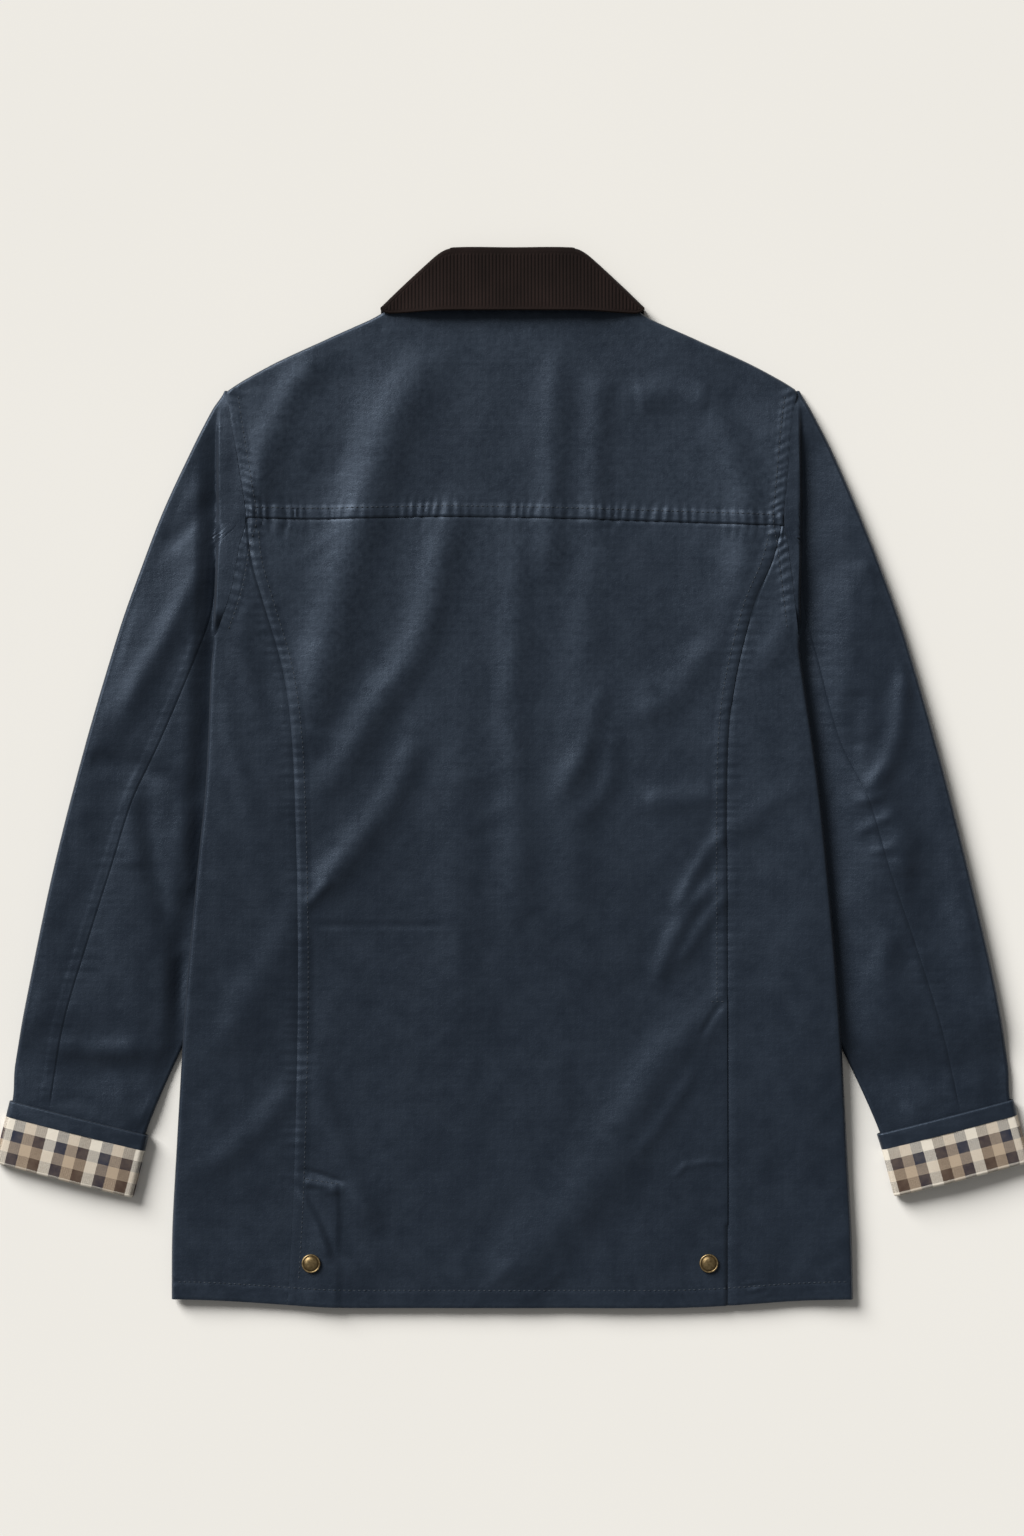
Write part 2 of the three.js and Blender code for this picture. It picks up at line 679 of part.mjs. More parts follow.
function sleeveUnderPiece(side) {
  const rows = STATIONS.map((unused, row) => row).filter((row) => row >= HEAD_ROW);
  const grid = rows.map((row) => {
    const station = sleeveStation(side, row);
    const pairs = sleevePairs(station);
    const edge = station.seam + SEAM / 2;
    const foot = station.closed ? lerp(edge, station.fold, 0.8) : Math.max(edge + 1, station.fold - 0.3);
    const low = [edge, lerp(edge, foot, 0.5), foot].map((p) => pairs.upper(p));
    const hidden = (share) => lerp(station.fold + 1, station.width - SLEEVE_ROLL, share);
    const head = station.closed
      ? [0, 0.33, 0.66].map((share) => pairs.upper(hidden(share)))
      : headColumns(station, pairs).reverse();
    if (row === HEAD_ROW) {
      [...low, ...head].forEach((pair) => {
        [pair.outer, pair.inner].forEach((corner) => { corner.y -= SEAM / 2; });
      });
    }
    const height = sleeveTop(station, station.width - SLEEVE_ROLL) - station.lift;
    const turned = HALF_TURN.map((angle) => (
      station.closed ? pairs.turn(angle, height, true) : pairs.lower(station.width)
    ));
    const seam = station.bottomSeam + SEAM / 2;
    const inside = station.closed ? station.width - SLEEVE_ROLL : station.width;
    const bottom = [0.4, 1].map((share) => pairs.lower(lerp(inside, seam, share)));
    return [...low, ...head, ...turned, ...bottom];
  });
  const closedFrom = CLOSED_ROW - HEAD_ROW;
  const leaving = LEAVING_ROW - HEAD_ROW;
  const present = (r, c) => {
    if (c < 2) {
      return r >= leaving;
    }
    const opening = c >= 5 && c < 10;
    return !opening || r >= closedFrom;
  };
  const outer = grid.map((row) => row.map((pair) => pair.outer));
  const inner = grid.map((row) => row.map((pair) => pair.inner));
  return piece(`sleeve_${side}_under`, wallGeometry(outer, inner, { present }), COLOURS.cloth);
}

// A flat ring round the sleeve's end, between two lines across it
function cuffRing(from, to, heights, lipped) {
  const acrossCount = 9;
  const rings = [];
  const rows = lipped ? [0, 0.45, 0.9, 0.93, 1] : [0, 0.5, 1];
  rows.forEach((v) => {
    const a = point(lerp(from[0][0], to[0][0], v), lerp(from[0][1], to[0][1], v), 0);
    const b = point(lerp(from[1][0], to[1][0], v), lerp(from[1][1], to[1][1], v), 0);
    const width = a.distanceTo(b);
    const along = b.clone().sub(a).normalize();
    const at = (p, z) => point(a.x + along.x * p, a.y + along.y * p, z);
    const round = lipped && v === 1 ? 0.6 : 0;
    const lip = lipped && v > 0.91 ? NEXT_LAYER : 0;
    const outer = [];
    const inner = [];
    const crown = (p) => heights.edge + (heights.middle - heights.edge) * Math.sin(Math.PI * p / width) ** 0.7;
    spread(acrossCount).forEach((share) => {
      const p = lerp(SLEEVE_ROLL, width - SLEEVE_ROLL, share);
      outer.push(at(p, crown(p) - round));
      inner.push(at(p, crown(p) - WALL - lip));
    });
    const turn = (angle, atEnd) => {
      const half = heights.edge / 2;
      const place = (amount) => (atEnd ? width - amount : amount);
      const inset = SLEEVE_ROLL * (1 - Math.cos(angle)) + round;
      const innerInset = WALL + lip * 0.5 + (SLEEVE_ROLL - WALL - lip * 0.5) * (1 - Math.cos(angle));
      outer.push(at(place(Math.min(inset, SLEEVE_ROLL)), half + (half - round) * Math.sin(angle)));
      inner.push(at(place(innerInset), half + (half - WALL - lip) * Math.sin(angle)));
    };
    HALF_TURN.slice(1, 4).forEach((angle) => turn(angle, true));
    spread(acrossCount).reverse().forEach((share) => {
      const p = lerp(SLEEVE_ROLL, width - SLEEVE_ROLL, share);
      outer.push(at(p, round));
      inner.push(at(p, WALL + lip));
    });
    HALF_TURN.slice(1, 4).reverse().forEach((angle) => turn(angle, false));
    outer.push(outer[0].clone());
    inner.push(inner[0].clone());
    rings.push({ outer, inner });
  });
  return closedRing(rings.map((ring) => ring.outer), rings.map((ring) => ring.inner));
}

// A ring wall: the last column meets the first, so only its two ends have rims
function closedRing(outer, inner) {
  const triangles = [];
  const quad = (a, b, c, d) => triangles.push(a, b, c, a, c, d);
  const last = outer.length - 1;
  for (let c = 0; c + 1 < outer[0].length; c += 1) {
    for (let r = 0; r < last; r += 1) {
      quad(outer[r][c], outer[r][c + 1], outer[r + 1][c + 1], outer[r + 1][c]);
      quad(inner[r][c], inner[r + 1][c], inner[r + 1][c + 1], inner[r][c + 1]);
    }
    quad(outer[0][c], inner[0][c], inner[0][c + 1], outer[0][c + 1]);
    quad(outer[last][c], outer[last][c + 1], inner[last][c + 1], inner[last][c]);
  }
  return geometryFrom(triangles);
}

function cuff(side) {
  const { bandTop, bandBottom, fold } = CUFFS[side];
  const heights = { edge: 9.2, middle: 11.4 };
  const start = bandBottom.map(([x, y], end) => {
    const step = SEAM / Math.hypot(fold[end][0] - x, fold[end][1] - y);
    return [lerp(x, fold[end][0], step), lerp(y, fold[end][1], step)];
  });
  return [
    piece(`cuff_${side}_facing`, cuffRing(bandTop, bandBottom, heights, false), COLOURS.cloth),
    piece(`cuff_${side}_turnup`, cuffRing(start, fold, heights, true), COLOURS.check),
  ];
}

// The collar: the fall on the back, rolled over at its top edge, and a leaf under each front
function collar() {
  const half = 107;
  const coarse = spread(32).map((u) => lerp(-half, half, u));
  const wales = Math.round((2 * half) / WALE.pitch);
  const fine = spread(wales * 2).map((u) => lerp(-half, half, u));
  const standHalf = 50;
  const freeY = (x) => 371 - 3 * smooth((half - Math.abs(x)) / 60);
  const topY = (x) => collarTopY(Math.abs(x));
  const ROLL_IN = 3.4;
  const lift = (x, v) => 2.4 * (1 - v) * (1 - v) * smooth((half - 6 - Math.abs(x)) / 40);
  const plateTop = (x, v) => NECK_TOP + SEAM + FALL_WALL + lift(x, v);
  const plateY = (x, v) => lerp(freeY(x), Math.max(topY(x) - ROLL_IN, freeY(x) + 0.4), v);
  const VS = [0, 0.3, 0.65, 1];
  const waleAt = (index, count) => (index % 2 && index > 0 && index < count ? WALE.height : 0);
  const fineRows = VS.map((v) => fine.map((x, i) => (
    point(x, plateY(x, v), plateTop(x, v) + waleAt(i, fine.length - 1))
  )));
  const outer = VS.map((v) => coarse.map((x) => point(x, plateY(x, v), plateTop(x, v))));
  const inner = VS.map((v) => coarse.map((x) => point(x, plateY(x, v), plateTop(x, v) - FALL_WALL)));
  const isStand = (x) => Math.abs(x) < standHalf;
  const bottomOf = (x) => (isStand(x) ? NECK_TOP - WALL : 0);
  [Math.PI / 4, 0, -Math.PI / 4, -Math.PI / 2].forEach((angle) => {
    const squeezed = (x) => Math.min(ROLL_IN, (topY(x) - freeY(x)) * 0.45);
    const yAt = (x, inset) => topY(x) - inset;
    outer.push(coarse.map((x) => {
      const top = plateTop(x, 1);
      const middle = (top + bottomOf(x)) / 2;
      const y = yAt(x, squeezed(x) * (1 - Math.cos(angle)));
      return point(x, y, middle + (top - middle) * Math.sin(angle));
    }));
    inner.push(coarse.map((x) => {
      const top = plateTop(x, 1) - FALL_WALL;
      const bottom = bottomOf(x) + WALL;
      const middle = (top + bottom) / 2;
      const thick = Math.min(WALL, squeezed(x) * 0.5);
      const y = yAt(x, thick + (squeezed(x) - thick) * (1 - Math.cos(angle)));
      return point(x, y, middle + (top - middle) * Math.sin(angle));
    }));
  });
  const endY = (x) => (isStand(x) ? 380.5 : leafEdgeY(Math.abs(x)) - (Math.abs(x) > 100 ? 6 : 0));
  [0.35, 0.7, 1].forEach((share) => {
    const yAt = (x) => lerp(topY(x) - Math.min(ROLL_IN, (topY(x) - freeY(x)) * 0.45), endY(x), share);
    outer.push(coarse.map((x) => point(x, yAt(x), bottomOf(x))));
    inner.push(coarse.map((x) => point(x, yAt(x), bottomOf(x) + WALL)));
  });
  const extra = [];
  fineRows.slice(0, -1).forEach((row, i) => band(extra, row, fineRows[i + 1]));
  band(extra, fineRows[3], outer[4]);
  band(extra, inner[0], fineRows[0]);
  const firstUnder = 5;
  const options = {
    extra,
    outerSkipped: (r) => r < 4,
    firstRimSkipped: true,
    present: (r, c) => {
      const broken = isStand(coarse[c]) !== isStand(coarse[c + 1]);
      return !(broken && r >= firstUnder);
    },
  };
  return piece('collar', wallGeometry(outer, inner, options), COLOURS.cord, 0.9);
}

// The strip of the side panel that lies under the centre panel's free edge
function ventUnderlay({ name, seam, edge, top }) {
  const inward = Math.sign(edge - seam);
  const rows = spread(5).map((v) => lerp(top, HEM_SIDE + 1, v));
  const columns = spread(3);
  const outer = [];
  const inner = [];
  rows.forEach((y) => {
    const start = princess[name](y) + inward * 2;
    const xs = columns.map((u) => lerp(start, edge, u));
    const lid = (x) => backTop(x, y) - WALL - SEAM;
    outer.push(xs.map((x) => point(x, y, lid(x) - 0.1)));
    inner.push(xs.map((x) => point(x, y, lid(x) - 0.1 - FACING_WALL)));
  });
  return piece(`vent_underlay_${name}`, wallGeometry(outer, inner), COLOURS.cloth);
}

// A domed stud cap with a raised rim
function ventStud(side) {
  const { radius, height, rim } = STUD;
  const [x, y] = STUD[side];
  const profile = [
    [0, 0], [radius - 0.6, 0], [radius, 0.5], [radius, 1.6], [radius - 0.5, 2.1],
    [radius - rim - 0.4, 1.9], [radius * 0.6, height - 0.5], [radius * 0.3, height - 0.1], [0, height],
  ];
  const geometry = new THREE.LatheGeometry(profile.map(([r, z]) => new THREE.Vector2(r, z)), 20);
  geometry.rotateX(Math.PI / 2);
  const mesh = piece(`vent_stud_${side}`, geometry, COLOURS.brass, 0.35, 0.9);
  const around = spread(12).map((u) => u * Math.PI * 2);
  const heights = around.map((a) => backTop(x + radius * Math.cos(a), y + radius * Math.sin(a)));
  mesh.position.set(x, y, Math.max(backTop(x, y), ...heights) + SEAM);
  return mesh;
}

const jacket = new THREE.Group();
['left', 'right'].forEach((side) => {
  jacket.add(front(side), backSide(side), sleeveUpperPiece(side), sleeveUnderPiece(side));
  jacket.add(...cuff(side), ventStud(side));
});
VENTS.forEach((vent) => jacket.add(ventUnderlay(vent)));
jacket.add(backYoke(), backCentre(), collar());

export default jacket;
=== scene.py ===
"""A waxed cotton jacket lying face down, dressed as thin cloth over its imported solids.

Tables and lengths are in millimetres, as the solids' are, and become metres when a mesh is made.
X runs to the right, Y towards the collar and Z up.
"""

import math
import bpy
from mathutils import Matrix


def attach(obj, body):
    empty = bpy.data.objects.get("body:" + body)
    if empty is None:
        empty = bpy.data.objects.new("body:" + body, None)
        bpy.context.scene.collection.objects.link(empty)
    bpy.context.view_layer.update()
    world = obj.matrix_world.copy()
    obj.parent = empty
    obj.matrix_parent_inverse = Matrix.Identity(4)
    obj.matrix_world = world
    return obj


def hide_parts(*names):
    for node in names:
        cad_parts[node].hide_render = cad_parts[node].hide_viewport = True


bl_info = {
    "name": "Waxed Cotton Jacket Laid Flat",
    "version": (1, 0, 0),
    "blender": (4, 5, 0),
    "location": "View3D > Sidebar > Jacket",
    "description": "Cloth, corduroy, checked cuffs and studs of a jacket that lies face down",
    "category": "Object",
}

import bpy
import numpy as np
from mathutils import Vector
from mathutils.bvhtree import BVHTree

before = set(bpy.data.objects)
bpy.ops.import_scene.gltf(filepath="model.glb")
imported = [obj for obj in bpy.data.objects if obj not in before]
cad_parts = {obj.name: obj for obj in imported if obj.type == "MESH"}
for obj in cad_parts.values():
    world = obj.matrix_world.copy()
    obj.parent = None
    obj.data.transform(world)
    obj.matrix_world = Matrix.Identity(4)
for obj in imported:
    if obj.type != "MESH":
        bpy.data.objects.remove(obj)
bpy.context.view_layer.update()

SIDES = ("left", "right")
BODY = "root"
MM = 0.001

# Layers and heights, shared with the solids
WALL = 1.6
SEAM = 0.3
NEXT_LAYER = WALL + SEAM
TUCK_TOP = 3.7
BACK_TOP = 6.2
BACK_TOP_OVER_TUCK = 7.8
NECK_TOP = 7.4
SLEEVE_CROWN = 2.3
SLEEVE_ROLL = 3.2
EDGE_ROLL = 3.0
HEM_SIDE = -417
HEM_MIDDLE = -424
TIP_Y = 310
UNDERARM_Y = 114

# How much looser cloth stands above the rigid solids: the body, its side edges and the sleeves
BODY_LOFT = 1.6
EDGE_LOFT = {"left": 3.2, "right": 5.0}
SLEEVE_LOFT = 4.0
UNDER_DEPTH = {"left": 0.3, "right": 1.1}
SLEEVE_DIP = {"left": 19, "right": 44}

# Plan outlines: y, the x of the wearer's left side, the x of the right side
BODY_EDGE = (
    (306.5, -229, 227.5), (142.5, -236, 229), (114.5, -238, 229), (91, -241, 231.5),
    (0, -245, 244.5), (-81.5, -253, 253), (-177.5, -261.5, 261), (-289.5, -268.5, 267.5),
    (-361.5, -272.5, 271.5), (-424, -273, 273),
)
HEAD_FOLD = (
    (312, -229.5, 228.5), (294.5, -234.5, 229.5), (186.5, -235.5, 230),
    (142.5, -237, 229), (114.5, -239, 230.5),
)
ARMHOLE = (
    (312, -228.5, 227.5), (286.5, -225, 223.5), (238.5, -217, 219), (206.5, -213, 216.5),
    (186.5, -218, 219.5), (150.5, -224.5, 224), (114.5, -236.5, 228),
)
SLEEVE_OUTER = (
    (312, -230, 229), (306.5, -232.5, 232), (294.5, -240.5, 239), (262.5, -257, 255.5),
    (214.5, -279.5, 276.5), (166.5, -298, 295.5), (118.5, -315, 312.5), (22.5, -343, 340.5),
    (-73.5, -367.5, 365), (-169.5, -387.5, 387), (-230, -398.5, 397), (-257, -400.3, 398.6),
    (-306, -411.5, 410.5),
)
SLEEVE_SEAM = (
    (212, -213, 217), (201, -221, 217.5), (186.5, -235, 229), (136, -240.5, 233.5),
    (101.5, -251.5, 243), (31, -281, 262), (-16, -303, 284.5), (-71, -320.5, 301),
    (-129, -339, 321), (-197.5, -359, 343), (-267, -371, 359), (-320, -379, 367),
)
SLEEVE_INNER = (
    (110.5, -226, 218), (94.5, -200, 197), (70.5, -172, 170), (46.5, -159, 158),
    (-1.5, -160.5, 159.5), (-49.5, -178, 177), (-97.5, -200.5, 199.5), (-145.5, -227.5, 227),
    (-216, -264.5, 263.5), (-286, -294.2, 295), (-333, -306.5, 308.5),
)
PRINCESS = (
    (206.5, -212, 215.5), (174.5, -208.5, 207.5), (142.5, -199.5, 194), (91, -184.5, 180.5),
    (50.5, -178, 174), (0, -174.5, 171.5), (-151, -171.5, 171.5), (-321, -175, 172),
    (-424, -180.5, 172),
)

# Curves across the jacket: x, y
YOKE_SEAM = ((-214, 208), (-148.5, 207), (-63, 209), (23, 208), (108.5, 205.5), (217, 201.5))
SHOULDER = (
    (-228.5, 310), (-215.5, 318.5), (-186, 334.5), (-115, 366.5), (-92, 377), (0, 379),
    (92, 377), (112.5, 366.5), (184.5, 334.5), (215, 318.5), (228.5, 310),
)
FRONT_NECK = ((0, 338), (35, 345), (70, 362), (96, 374))
COLLAR_TOP = ((0, 424.5), (46, 424.5), (55.5, 422), (66, 414), (106.5, 375.6), (108, 371.5))

# Sleeve stations: the y of each at the outer edge and at the inner edge
STATIONS = (
    (310, 310), (300, 300), (114, 114), (-88, -88), (-122, -124), (-152, -158), (-180, -190),
    (-206, -220), (-228, -248), (-244, -268), (-258, -285), (-280, -309), (-301, -328.5),
)

# Folds of the back: rise, half width, path of the crest
FOLDS = (
    (5.4, 20, ((-78, 324), (-105, 262), (-115, 230), (-132, 174), (-143, 126), (-154, 78), (-162, 42))),
    (2.6, 13, ((-156, 336), (-184, 301), (-197, 258), (-206, 218))),
    (0.8, 10, ((-204, 314), (-200, 278), (-206, 230))),
    (-1.4, 13, ((-134, 326), (-139, 286), (-150, 236))),
    (3.4, 14, ((-48, 214), (-60, 166), (-66, 126), (-86, 86), (-106, 62), (-126, 26), (-154, -16))),
    (2.8, 12, ((-79, 34), (-87, 0), (-111, -38), (-138, -70), (-160, -95))),
    (2.3, 13, ((4, 198), (3, 126), (-1, 62), (2, 10), (6, -100))),
    (2.2, 11, ((34, 338), (33, 262), (28, 166))),
    (1.9, 11, ((70, 322), (68, 262), (66, 198))),
    (2.4, 13, ((157, 297), (175, 266), (187, 226), (185, 174), (178, 134))),
    (1.8, 12, ((98, 303), (124, 309), (158, 303))),
    (1.6, 12, ((160, 106), (131, 64), (102, 51))),
    (-0.8, 4, ((114, 70), (155, 30))),
    (1.6, 10, ((106, -19), (134, -17), (161, -14))),
    (1.6, 9, ((72, 74), (62, 26), (38, -13))),
    (1.5, 14, ((64, 186), (58, 90), (48, 0), (50, -110))),
    (1.2, 16, ((-40, 20), (-46, -90), (-40, -200))),
    (1.3, 8, ((80, 38), (79, -6), (59, -30))),
    (0.35, 8, ((-48, -2), (-12, 3))),
    (0.4, 8, ((-42, -42), (-18, -31), (-6, -24))),
    (0.3, 8, ((-30, -55), (-6, -51))),
    (1.5, 6, ((169, -43), (150, -67), (131, -104))),
    (2.0, 8, ((164, -85), (142, -102), (128, -130), (116, -162))),
    (1.4, 6, ((172, -92), (152, -118), (134, -149))),
    (2.2, 15, ((168, -184), (124, -218), (98, -258), (78, -285))),
    (1.0, 6, ((145, -234), (123, -271), (102, -299))),
    (2.4, 21, ((104, -280), (62, -330), (22, -370), (-10, -411))),
    (1.1, 4, ((-148, -84), (-165, -103))),
    (-0.5, 2.5, ((-157, -118), (-106, -118), (-56, -118))),
    (1.3, 13, ((-178, -118), (-200, -159), (-222, -195), (-240, -221))),
    (1.5, 11, ((-176, -250), (-206, -282), (-242, -312))),
    (2.0, 9, ((-160, -230), (-146, -274), (-131, -314), (-111, -358))),
    (1.4, 10, ((232, 165), (219, 122), (200, 91))),
    (1.1, 9, ((-210, 149), (-218, 94), (-200, 46))),
    (1.0, 8, ((-229, 62), (-220, 6), (-205, -35))),
    (0.7, 5, ((-2, -390), (-23, -412))),
    (0.7, 5, ((40, -393), (10, -418))),
    (1.0, 9, ((227, -10), (200, -22), (178, -43))),
)

# Creases round the two vents
VENT_CREASES = (
    (-1.1, 2, ((-167, -313), (-152, -318), (-137, -323))),
    (2.1, 4, ((-166, -323), (-154, -326), (-139, -329))),
    (1.5, 4, ((-170, -332), (-157, -356), (-147, -384))),
    (-0.8, 3, ((-164, -332), (-151, -356), (-141, -384))),
    (-1.0, 3, ((167, -181), (160, -190), (152, -204))),
    (0.7, 2.5, ((130, -319), (139, -309))),
    (0.6, 2.5, ((141, -310), (156, -307), (170, -308))),
)

# Folds of the sleeves
SLEEVE_FOLDS = (
    (2.2, 10, ((-249, 170), (-266, 133), (-283, 101), (-299, 78), (-310, 52))),
    (-1.5, 9, ((-240, 222), (-258, 202), (-278, 184))),
    (-1.9, 9, ((-338, 14), (-312, 12), (-282, 5), (-250, -18))),
    (2.8, 8, ((-258, -30), (-260, -60), (-256, -92))),
    (-2.7, 9, ((-293, -4), (-291, -50), (-279, -98), (-266, -146), (-262, -186))),
    (1.6, 10, ((-301, -10), (-300, -74))),
    (1.0, 5, ((-262, -134), (-270, -146))),
    (2.4, 9, ((-362, -215), (-330, -219), (-298, -217))),
    (1.5, 8, ((-278, -254), (-302, -282))),
    (2.5, 8, ((314, 84), (307, 22), (283, -14))),
    (-1.5, 9, ((276, 70), (274, 22))),
    (2.6, 13, ((296, -4), (309, -40), (312, -80))),
    (1.2, 3.5, ((276, -20), (298, -14))),
    (1.2, 3.5, ((276, -44), (302, -30))),
    (1.0, 3.5, ((288, -60), (306, -54))),
    (-1.6, 6, ((270, -210), (286, -230), (306, -250), (314, -266))),
    (0.9, 10, ((330, 62), (350, -58), (370, -178))),
    (1.0, 9, ((306, -122), (290, -166))),
    (1.2, 14, ((278, 174), (282, 110))),
)

# Where the right vent's edge comes free
FREE_EDGE_TOP = -179

# The two vents: side, x of the seam, inner edge of the underlay, top of the opening
VENTS = (("left", -176, -138, -328), ("right", 172, 133, -313))
STUD_PLACES = {"left": (-161, -388), "right": (157, -388)}
CUFFS = {
    "left": {
        "band_top": ((-402.5, -258), (-291, -286)),
        "band_bottom": ((-405.5, -270.3), (-294, -298.3)),
        "fold": ((-415, -307.5), (-303.5, -336)),
    },
    "right": {
        "band_top": ((401, -257), (291.5, -285)),
        "band_bottom": ((404, -269.3), (295.5, -297.3)),
        "fold": ((414.5, -307), (305.5, -335)),
    },
}

LATTICE = np.random.RandomState(11).uniform(-1, 1, (256, 256))


def smooth(value):
    """Ease a value from 0 to 1."""
    t = np.clip(value, 0, 1)
    return t * t * (3 - 2 * t)


def blend(a, b, share):
    """Mix two values."""
    return a + (b - a) * share


def curve(rows, column=1):
    """Return a smooth function through a table's first column and another one."""
    table = np.array(sorted(rows), dtype=float)
    at, to = table[:, 0], table[:, column]
    last = len(at) - 1
    high = np.minimum(np.arange(last + 1) + 1, last)
    low = np.maximum(np.arange(last + 1) - 1, 0)
    slopes = (to[high] - to[low]) / (at[high] - at[low])

    def read(value):
        v = np.clip(value, at[0], at[-1])
        i = np.clip(np.searchsorted(at, v, side="right") - 1, 0, last - 1)
        span = at[i + 1] - at[i]
        t = (v - at[i]) / span
        bend = t * (1 - t) * span
        return blend(to[i], to[i + 1], smooth(t)) + bend * (slopes[i] * (1 - t) - slopes[i + 1] * t)

    return read


def sided(rows):
    """Return one curve for each side of a plan outline."""
    return {"left": curve(rows, 1), "right": curve(rows, 2)}


body_edge = sided(BODY_EDGE)
head_fold = sided(HEAD_FOLD)
armhole = sided(ARMHOLE)
sleeve_outer = sided(SLEEVE_OUTER)
sleeve_seam = sided(SLEEVE_SEAM)
sleeve_inner = sided(SLEEVE_INNER)
princess = sided(PRINCESS)
yoke_seam = curve(YOKE_SEAM)
shoulder = curve(SHOULDER)
front_neck = curve(FRONT_NECK)
collar_top = curve(COLLAR_TOP)


def hem(x):
    """Return the y of the hem."""
    return blend(HEM_MIDDLE, HEM_SIDE, smooth((np.abs(x) - 120) / 150))


def noise(u, v, layer=0):
    """Return smooth seeded noise from -1 to 1 over a plane."""
    i = np.floor(u).astype(int)
    j = np.floor(v).astype(int)
    fu = smooth(u - i)
    fv = smooth(v - j)

    def corner(a, b):
        return LATTICE[(a + 37 * layer) % 256, (b + 91 * layer) % 256]

    near = blend(corner(i, j), corner(i + 1, j), fu)
    far = blend(corner(i, j + 1), corner(i + 1, j + 1), fu)
    return blend(near, far, fv)


def path_distance(x, y, path):
    """Return the distance to a path, and how far along it the nearest point is, from 0 to 1."""
    best = np.full(np.shape(x), np.inf)
    along = np.zeros(np.shape(x))
    pieces = list(zip(path, path[1:]))
    for number, ((ax, ay), (bx, by)) in enumerate(pieces):
        dx = bx - ax
        dy = by - ay
        t = np.clip(((x - ax) * dx + (y - ay) * dy) / (dx * dx + dy * dy), 0, 1)
        away = np.hypot(x - ax - dx * t, y - ay - dy * t)
        along = np.where(away < best, (number + t) / len(pieces), along)
        best = np.minimum(best, away)
    return best, along


def eased(path):
    """Round off a path's corners."""
    line = np.array(path, dtype=float)
    for _ in range(2):
        near = blend(line[:-1], line[1:], 0.25)
        far = blend(line[:-1], line[1:], 0.75)
        middle = np.stack((near, far), axis=1).reshape(-1, 2)
        line = np.concatenate((line[:1], middle, line[-1:]))
    return line


def folds_at(x, y, folds):
    """Add up the soft ridges and troughs of a table, uneven in height and fading at both ends."""
    height = np.zeros(np.shape(x))
    for number, (rise, wide, path) in enumerate(folds):
        line = eased(path)
        low = line.min(axis=0) - 2.6 * wide
        high = line.max(axis=0) + 2.6 * wide
        near = (x > low[0]) & (x < high[0]) & (y > low[1]) & (y < high[1])
        if not near.any():
            continue
        away, along = path_distance(x[near], y[near], line)
        fade = 0.45 + 0.55 * smooth(along / 0.22) * smooth((1 - along) / 0.22)
        uneven = 1 + 0.22 * noise(along * 5, along * 0 + 3.7 * number, 51)
        height[near] += rise * fade * uneven * np.exp(-((away / wide) ** 2))
    return height


def soft_floor(value, lowest):
    """Keep a value above a lowest one, with a soft bend."""
    return np.where(value > 0, value, lowest * (1 - np.exp(value / -lowest)))


def per_side(x, function):
    """Evaluate a function of the side on the side where each x lies."""
    return np.where(x < 0, function("left"), function("right"))


def tuck_cover(x, y, margin, ramp):
    """Return how far the sleeve tucked under the body lifts what lies on it."""
    inner = per_side(x, lambda side: sleeve_inner[side](np.minimum(y, 112)))
    inside = np.minimum((np.abs(x) - np.abs(inner)) * 0.8, UNDERARM_Y + 14 - y)
    return smooth((inside + margin + ramp) / ramp)


def leaf_edge(x):
    """Return the lower edge of a collar leaf."""
    return blend(306, 371.5, np.clip((x - 40) / 68, 0, 1))


def leaf_cover(x, y):
    """Return how far a collar leaf lifts the front on it."""
    across = np.minimum(np.abs(x) - 44, 140 - np.abs(x))
    inside = np.minimum(across, y - leaf_edge(np.abs(x)) + 26)
    return smooth((inside + 14) / 12)


def front_bottom(x, y, laps):
    """Return the height of a front's lower face."""
    lap = np.where(laps, NEXT_LAYER * (1 - smooth((x - 28) / 14)), 0)
    tucked = (TUCK_TOP + SEAM) * tuck_cover(x, y, 20, 16)
    return np.maximum(np.maximum(lap, tucked), (WALL + 0.5) * leaf_cover(x, y))


def front_top(x, y):
    """Return the height of the fronts' upper face."""
    return front_bottom(x, y, x > -14) + WALL


def back_base(x, y):
    """Return the smooth height of the back: as the solids have it, with fuller folds."""
    tucked = tuck_cover(x, y, 34, 40)
    away = np.hypot(np.maximum(0, np.abs(x) - 90), np.maximum(0, 372 - y))
    neck = smooth(1 - away / 70)
    base = np.maximum(
        blend(BACK_TOP, BACK_TOP_OVER_TUCK, tucked), blend(BACK_TOP, NECK_TOP, neck)
    )
    at_hem = smooth((y - HEM_MIDDLE) / 40)
    edge = per_side(x, lambda side: np.abs(body_edge[side](y)))
    by_edge = smooth(1 - (edge - np.abs(x)) / 110) * smooth((y + 330) / 160) * smooth((316 - y) / 60)
    loft = BODY_LOFT * (0.9 + 0.1 * smooth((y - HEM_MIDDLE) / 60)) * (1 - neck)
    loft = loft + per_side(x, lambda side: EDGE_LOFT[side]) * by_edge
    waves = folds_at(x, y, FOLDS) * (0.5 + 0.5 * at_hem)
    folded = base + loft + soft_floor(waves, -1.6) * (1 - neck)
    return np.maximum(folded, front_top(x, y) + SEAM + WALL)


def puckers(along, away, height, layer, reach=8.0):
    """Return the gathers that a row of stitches pulls into the cloth beside it."""
    reach = np.exp(-(((away - 4.5) / reach) ** 2))
    turn = along / 7.6 + 0.55 * noise(along / 15, away / 30, layer)
    ripple = np.tanh(1.6 * np.sin(2 * math.pi * turn)) + 0.35 * noise(along / 3.2, away / 9, layer)
    strength = np.clip(0.72 + 0.6 * noise(along / 26, away * 0, layer + 1), 0.25, 1.05)
    return height * reach * strength * ripple


